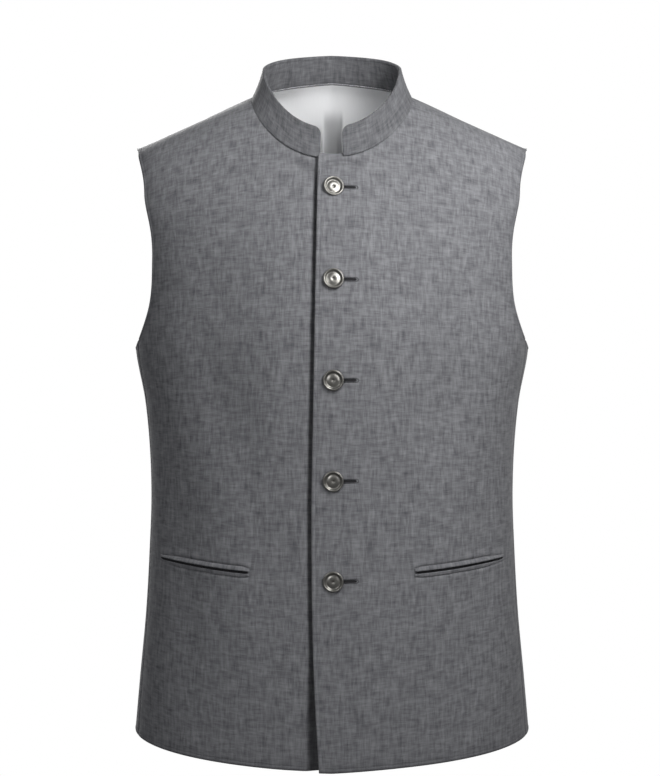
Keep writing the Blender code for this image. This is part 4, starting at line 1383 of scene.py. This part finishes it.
def collar_object():
    """The standing band, with turned edges. Returns it, the beads of the
    stitches on its outer face and the length of its seam."""
    line = collar_line()
    lengths = run_lengths(line)
    total = lengths[-1]
    at = stations(total, *COLLAR_STATIONS)
    seam = read_at(at, lengths, line)
    way = softened(read_at(at, lengths, np.gradient(line, lengths, axis=0)), COLLAR_PASSES)
    forward = unit(way * (1, 1, 0))
    around = 1 - np.abs(2 * at / total - 1)
    lean, rise = (table_curve(COLLAR_RISE, around, column)[:, None] for column in (1, 2))
    inward = np.stack([forward[:, 1], -forward[:, 0], forward[:, 2]], axis=1)
    slant = inward * lean + rise * (0, 0, 1)
    up = unit(slant)
    outward = unit(np.cross(forward, up))
    from_end = np.minimum(at, total - at)
    short = np.clip(COLLAR_END_RADIUS - from_end, 0, COLLAR_END_RADIUS)
    tall = np.linalg.norm(slant, axis=1)
    tall = tall - (COLLAR_END_RADIUS - np.sqrt(COLLAR_END_RADIUS**2 - short**2))

    # Each station has the same levels up the outer face, over the top and down.
    half = COLLAR_WALL / 2
    wide = rounded_end(from_end, half)[:, None]
    straight = (tall - half - COLLAR_FOOT)[:, None]
    low = np.linspace(0, 1, COLLAR_LEVELS) ** COLLAR_LEVEL_POWER * (straight - COLLAR_TOP_ZONE)
    levels = np.concatenate([low, straight - np.array(COLLAR_TOP_LEVELS) * MM], axis=1)
    bow = COLLAR_BOW * arch(levels / straight)
    from_edge = np.minimum(straight + half - levels, from_end[:, None])
    face = bow + stitched_edge(from_edge) - SEAM_DIP * np.exp(-levels / SEAM_DIP_WIDTH)
    turns = np.linspace(0, math.pi, COLLAR_TURN_POINTS + 2)[1:-1]
    top = straight + half * np.sin(turns) * wide
    over_top = half * np.broadcast_to(np.cos(turns), top.shape)
    last = np.ones_like(straight)
    rises = (levels, top, levels[:, ::-1], -COLLAR_TURNING * last)
    outs = (face + half, over_top, bow[:, ::-1] - half, -half * last)
    rises = COLLAR_FOOT + np.concatenate(rises, axis=1)
    outs = np.concatenate(outs, axis=1) * wide - half
    points = seam[:, None] + up[:, None] * rises[..., None] + outward[:, None] * outs[..., None]
    uv = np.stack([np.broadcast_to(at[:, None], rises.shape), rises], axis=2) + COLLAR_UV
    faces = tube_faces(*rises.shape)
    made = new_object("band_collar", points.reshape(-1, 3), faces, SHADED_COLLAR_CLOTH, uv.reshape(-1, 2))

    starts = np.arange(STITCH_INSET, total - STITCH_INSET - STITCH_LENGTH, STITCH_PITCH)
    sides = []
    for place in (starts, starts + STITCH_LENGTH):
        base, lift, out = (read_at(place, at, values) for values in (seam, up, outward))
        high = np.interp(place, at, tall)[:, None]
        level = high - STITCH_INSET
        face = COLLAR_BOW * arch(level / high) - STITCH_DIP + STITCH_LIFT
        sides.append(base + lift * level + unit(out) * face)
    return finish_normals(made), (*sides, unit(out)), total


# ---------------- making
def add_piece(obj, slot, *nodes):
    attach(obj, "root")
    if nodes:
        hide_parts(*nodes)
    return obj


def make_front(name, over, edge, cloth, rows):
    relief = front_relief(rows, over)
    side = 1 if over else -1
    outline, runs = front_outline(edge)
    lines = np.concatenate([pocket_lines(), crease_lines(rows[0]) if over else closing_lines()])
    front = f"cloth_front_{name}"
    made = panel(front, cloth, outline, runs, relief, CLOTH, lines=lines, shade=front_shade(rows))
    if not over:
        mirror_x(made)
    add_piece(made, "cloth", f"front_{name}")
    sewn = ("armhole", "front", "hem")
    stitches = lay_stitches(f"stitches_front_{name}", cloth, outline, runs, sewn, relief, not over)
    with_pieces = [add_piece(stitches, "cloth")]
    for place in ("upper", "lower"):
        jet = jet_object(f"jet_{name}_{place}", cloth, relief, side, place == "upper")
        with_pieces.append(add_piece(jet, "cloth", f"pocket_{name}_{place}_jet"))
    # A painted shadow strip in the pocket's slit.
    inset, below = SLIT_INSET
    start, end = np.add(POCKET_INNER, (inset, -below)), np.subtract(POCKET_OUTER, (inset, below))
    slit = f"pocket_slit_painted_shadow_{name}"
    slit = slit_shadow_strip(slit, cloth, relief, start, end, SLIT_HALF, SLIT_LIFT, side)
    with_pieces.append(add_piece(slit, "cloth"))
    if over:
        for number, level in enumerate(button_heights(), 1):
            pieces = buttonhole(number, level, relief)
            with_pieces += [add_piece(piece, "cloth") for piece in pieces]


def make_back():
    outline, runs = back_outline()
    back = panel("cloth_back", BACK_CLOTH, outline, runs, back_relief, CLOTH)
    add_piece(back, "cloth", "back")
    sewn = ("armhole", "hem")
    stitches = lay_stitches("stitches_back", BACK_CLOTH, outline, runs, sewn, back_relief)
    add_piece(stitches, "cloth")
    inset = np.array([LINING_INSET.get(run, 0.0) for run in runs])
    outline = offset_in(outline, inset[:, None])
    lining = panel(
        "lining_back_look", BACK_CLOTH, outline, runs, lining_relief, LINING, wall=LINING_WALL,
        sunk=WALL + LINING_CLEARANCE, lines=pleat_lines(), show_inner=True, shade=pleat_shade,
    )
    add_piece(lining, "lining", "lining_back")


def make_collar():
    made, batch, total = collar_object()
    add_piece(made, "cloth", "collar")
    stitches = add_piece(thread_object("stitches_collar", [batch]), "cloth")


def make_buttons():
    relief = front_relief(OVER_CREASES, True)
    for number, level in enumerate(button_heights(), 1):
        add_piece(button(number, level, relief), "button", f"button_{number}")


# ---------------- studio
def glow(name, colour, strength):
    made = bpy.data.materials.new(name)
    made.use_nodes = True
    tree = made.node_tree
    tree.nodes.clear()
    light = node(tree, "Emission", {"Color": (*colour, 1), "Strength": strength})
    node(tree, "OutputMaterial", {"Surface": light["Emission"]})
    return made


def backdrop():
    """A pale floor and a pale room round it. They show behind the waistcoat,
    and add no light to the cloth and no reflection to the buttons."""
    pale = glow("pale_backdrop", (1.0, 1.0, 1.0), 1.0)
    corners = ((-1, -1), (1, -1), (1, 1), (-1, 1))
    corners = [(x * FLOOR_REACH, y * FLOOR_REACH, FLOOR_LEVEL) for x, y in corners]
    floor = new_object("floor", corners, [[0, 1, 2, 3]], pale)
    shape = bmesh.new()
    bmesh.ops.create_icosphere(shape, subdivisions=4, radius=ROOM_RADIUS)
    mesh = bpy.data.meshes.new("room")
    shape.to_mesh(mesh)
    shape.free()
    mesh.materials.append(pale)
    for obj in (floor, linked("room", mesh)):
        obj.visible_diffuse = False
        obj.visible_glossy = False
        obj.visible_shadow = False


def lamps():
    for name, place, target, size, power, colour in LIGHTS:
        lamp = bpy.data.lights.new(name, "AREA")
        lamp.shape = "DISK"
        lamp.size = size
        lamp.energy = power
        lamp.color = colour
        made = linked(name, lamp)
        made.location = place
        made.rotation_mode = "QUATERNION"
        made.rotation_quaternion = (Vector(target) - Vector(place)).to_track_quat("-Z", "Y")
    world = bpy.data.worlds.new("studio")
    world.use_nodes = True
    sky = world.node_tree.nodes["Background"]
    sky.inputs["Color"].default_value = (1.0, 1.0, 1.0, 1.0)
    sky.inputs["Strength"].default_value = WORLD_STRENGTH
    bpy.context.scene.world = world


def camera():
    lens = bpy.data.cameras.new("camera")
    lens.lens = CAMERA_LENS
    lens.sensor_width = 36.0
    made = linked("camera", lens)
    made.location = CAMERA_PLACE
    made.rotation_euler = (math.pi / 2, 0, 0)
    bpy.context.scene.camera = made


make_front("left", True, over_edge, OVER_CLOTH, OVER_CREASES)
make_front("right", False, under_edge, UNDER_CLOTH, UNDER_CREASES)
make_back()
make_collar()
make_buttons()
backdrop()
lamps()
camera()
bpy.context.scene.view_settings.view_transform = "Standard"
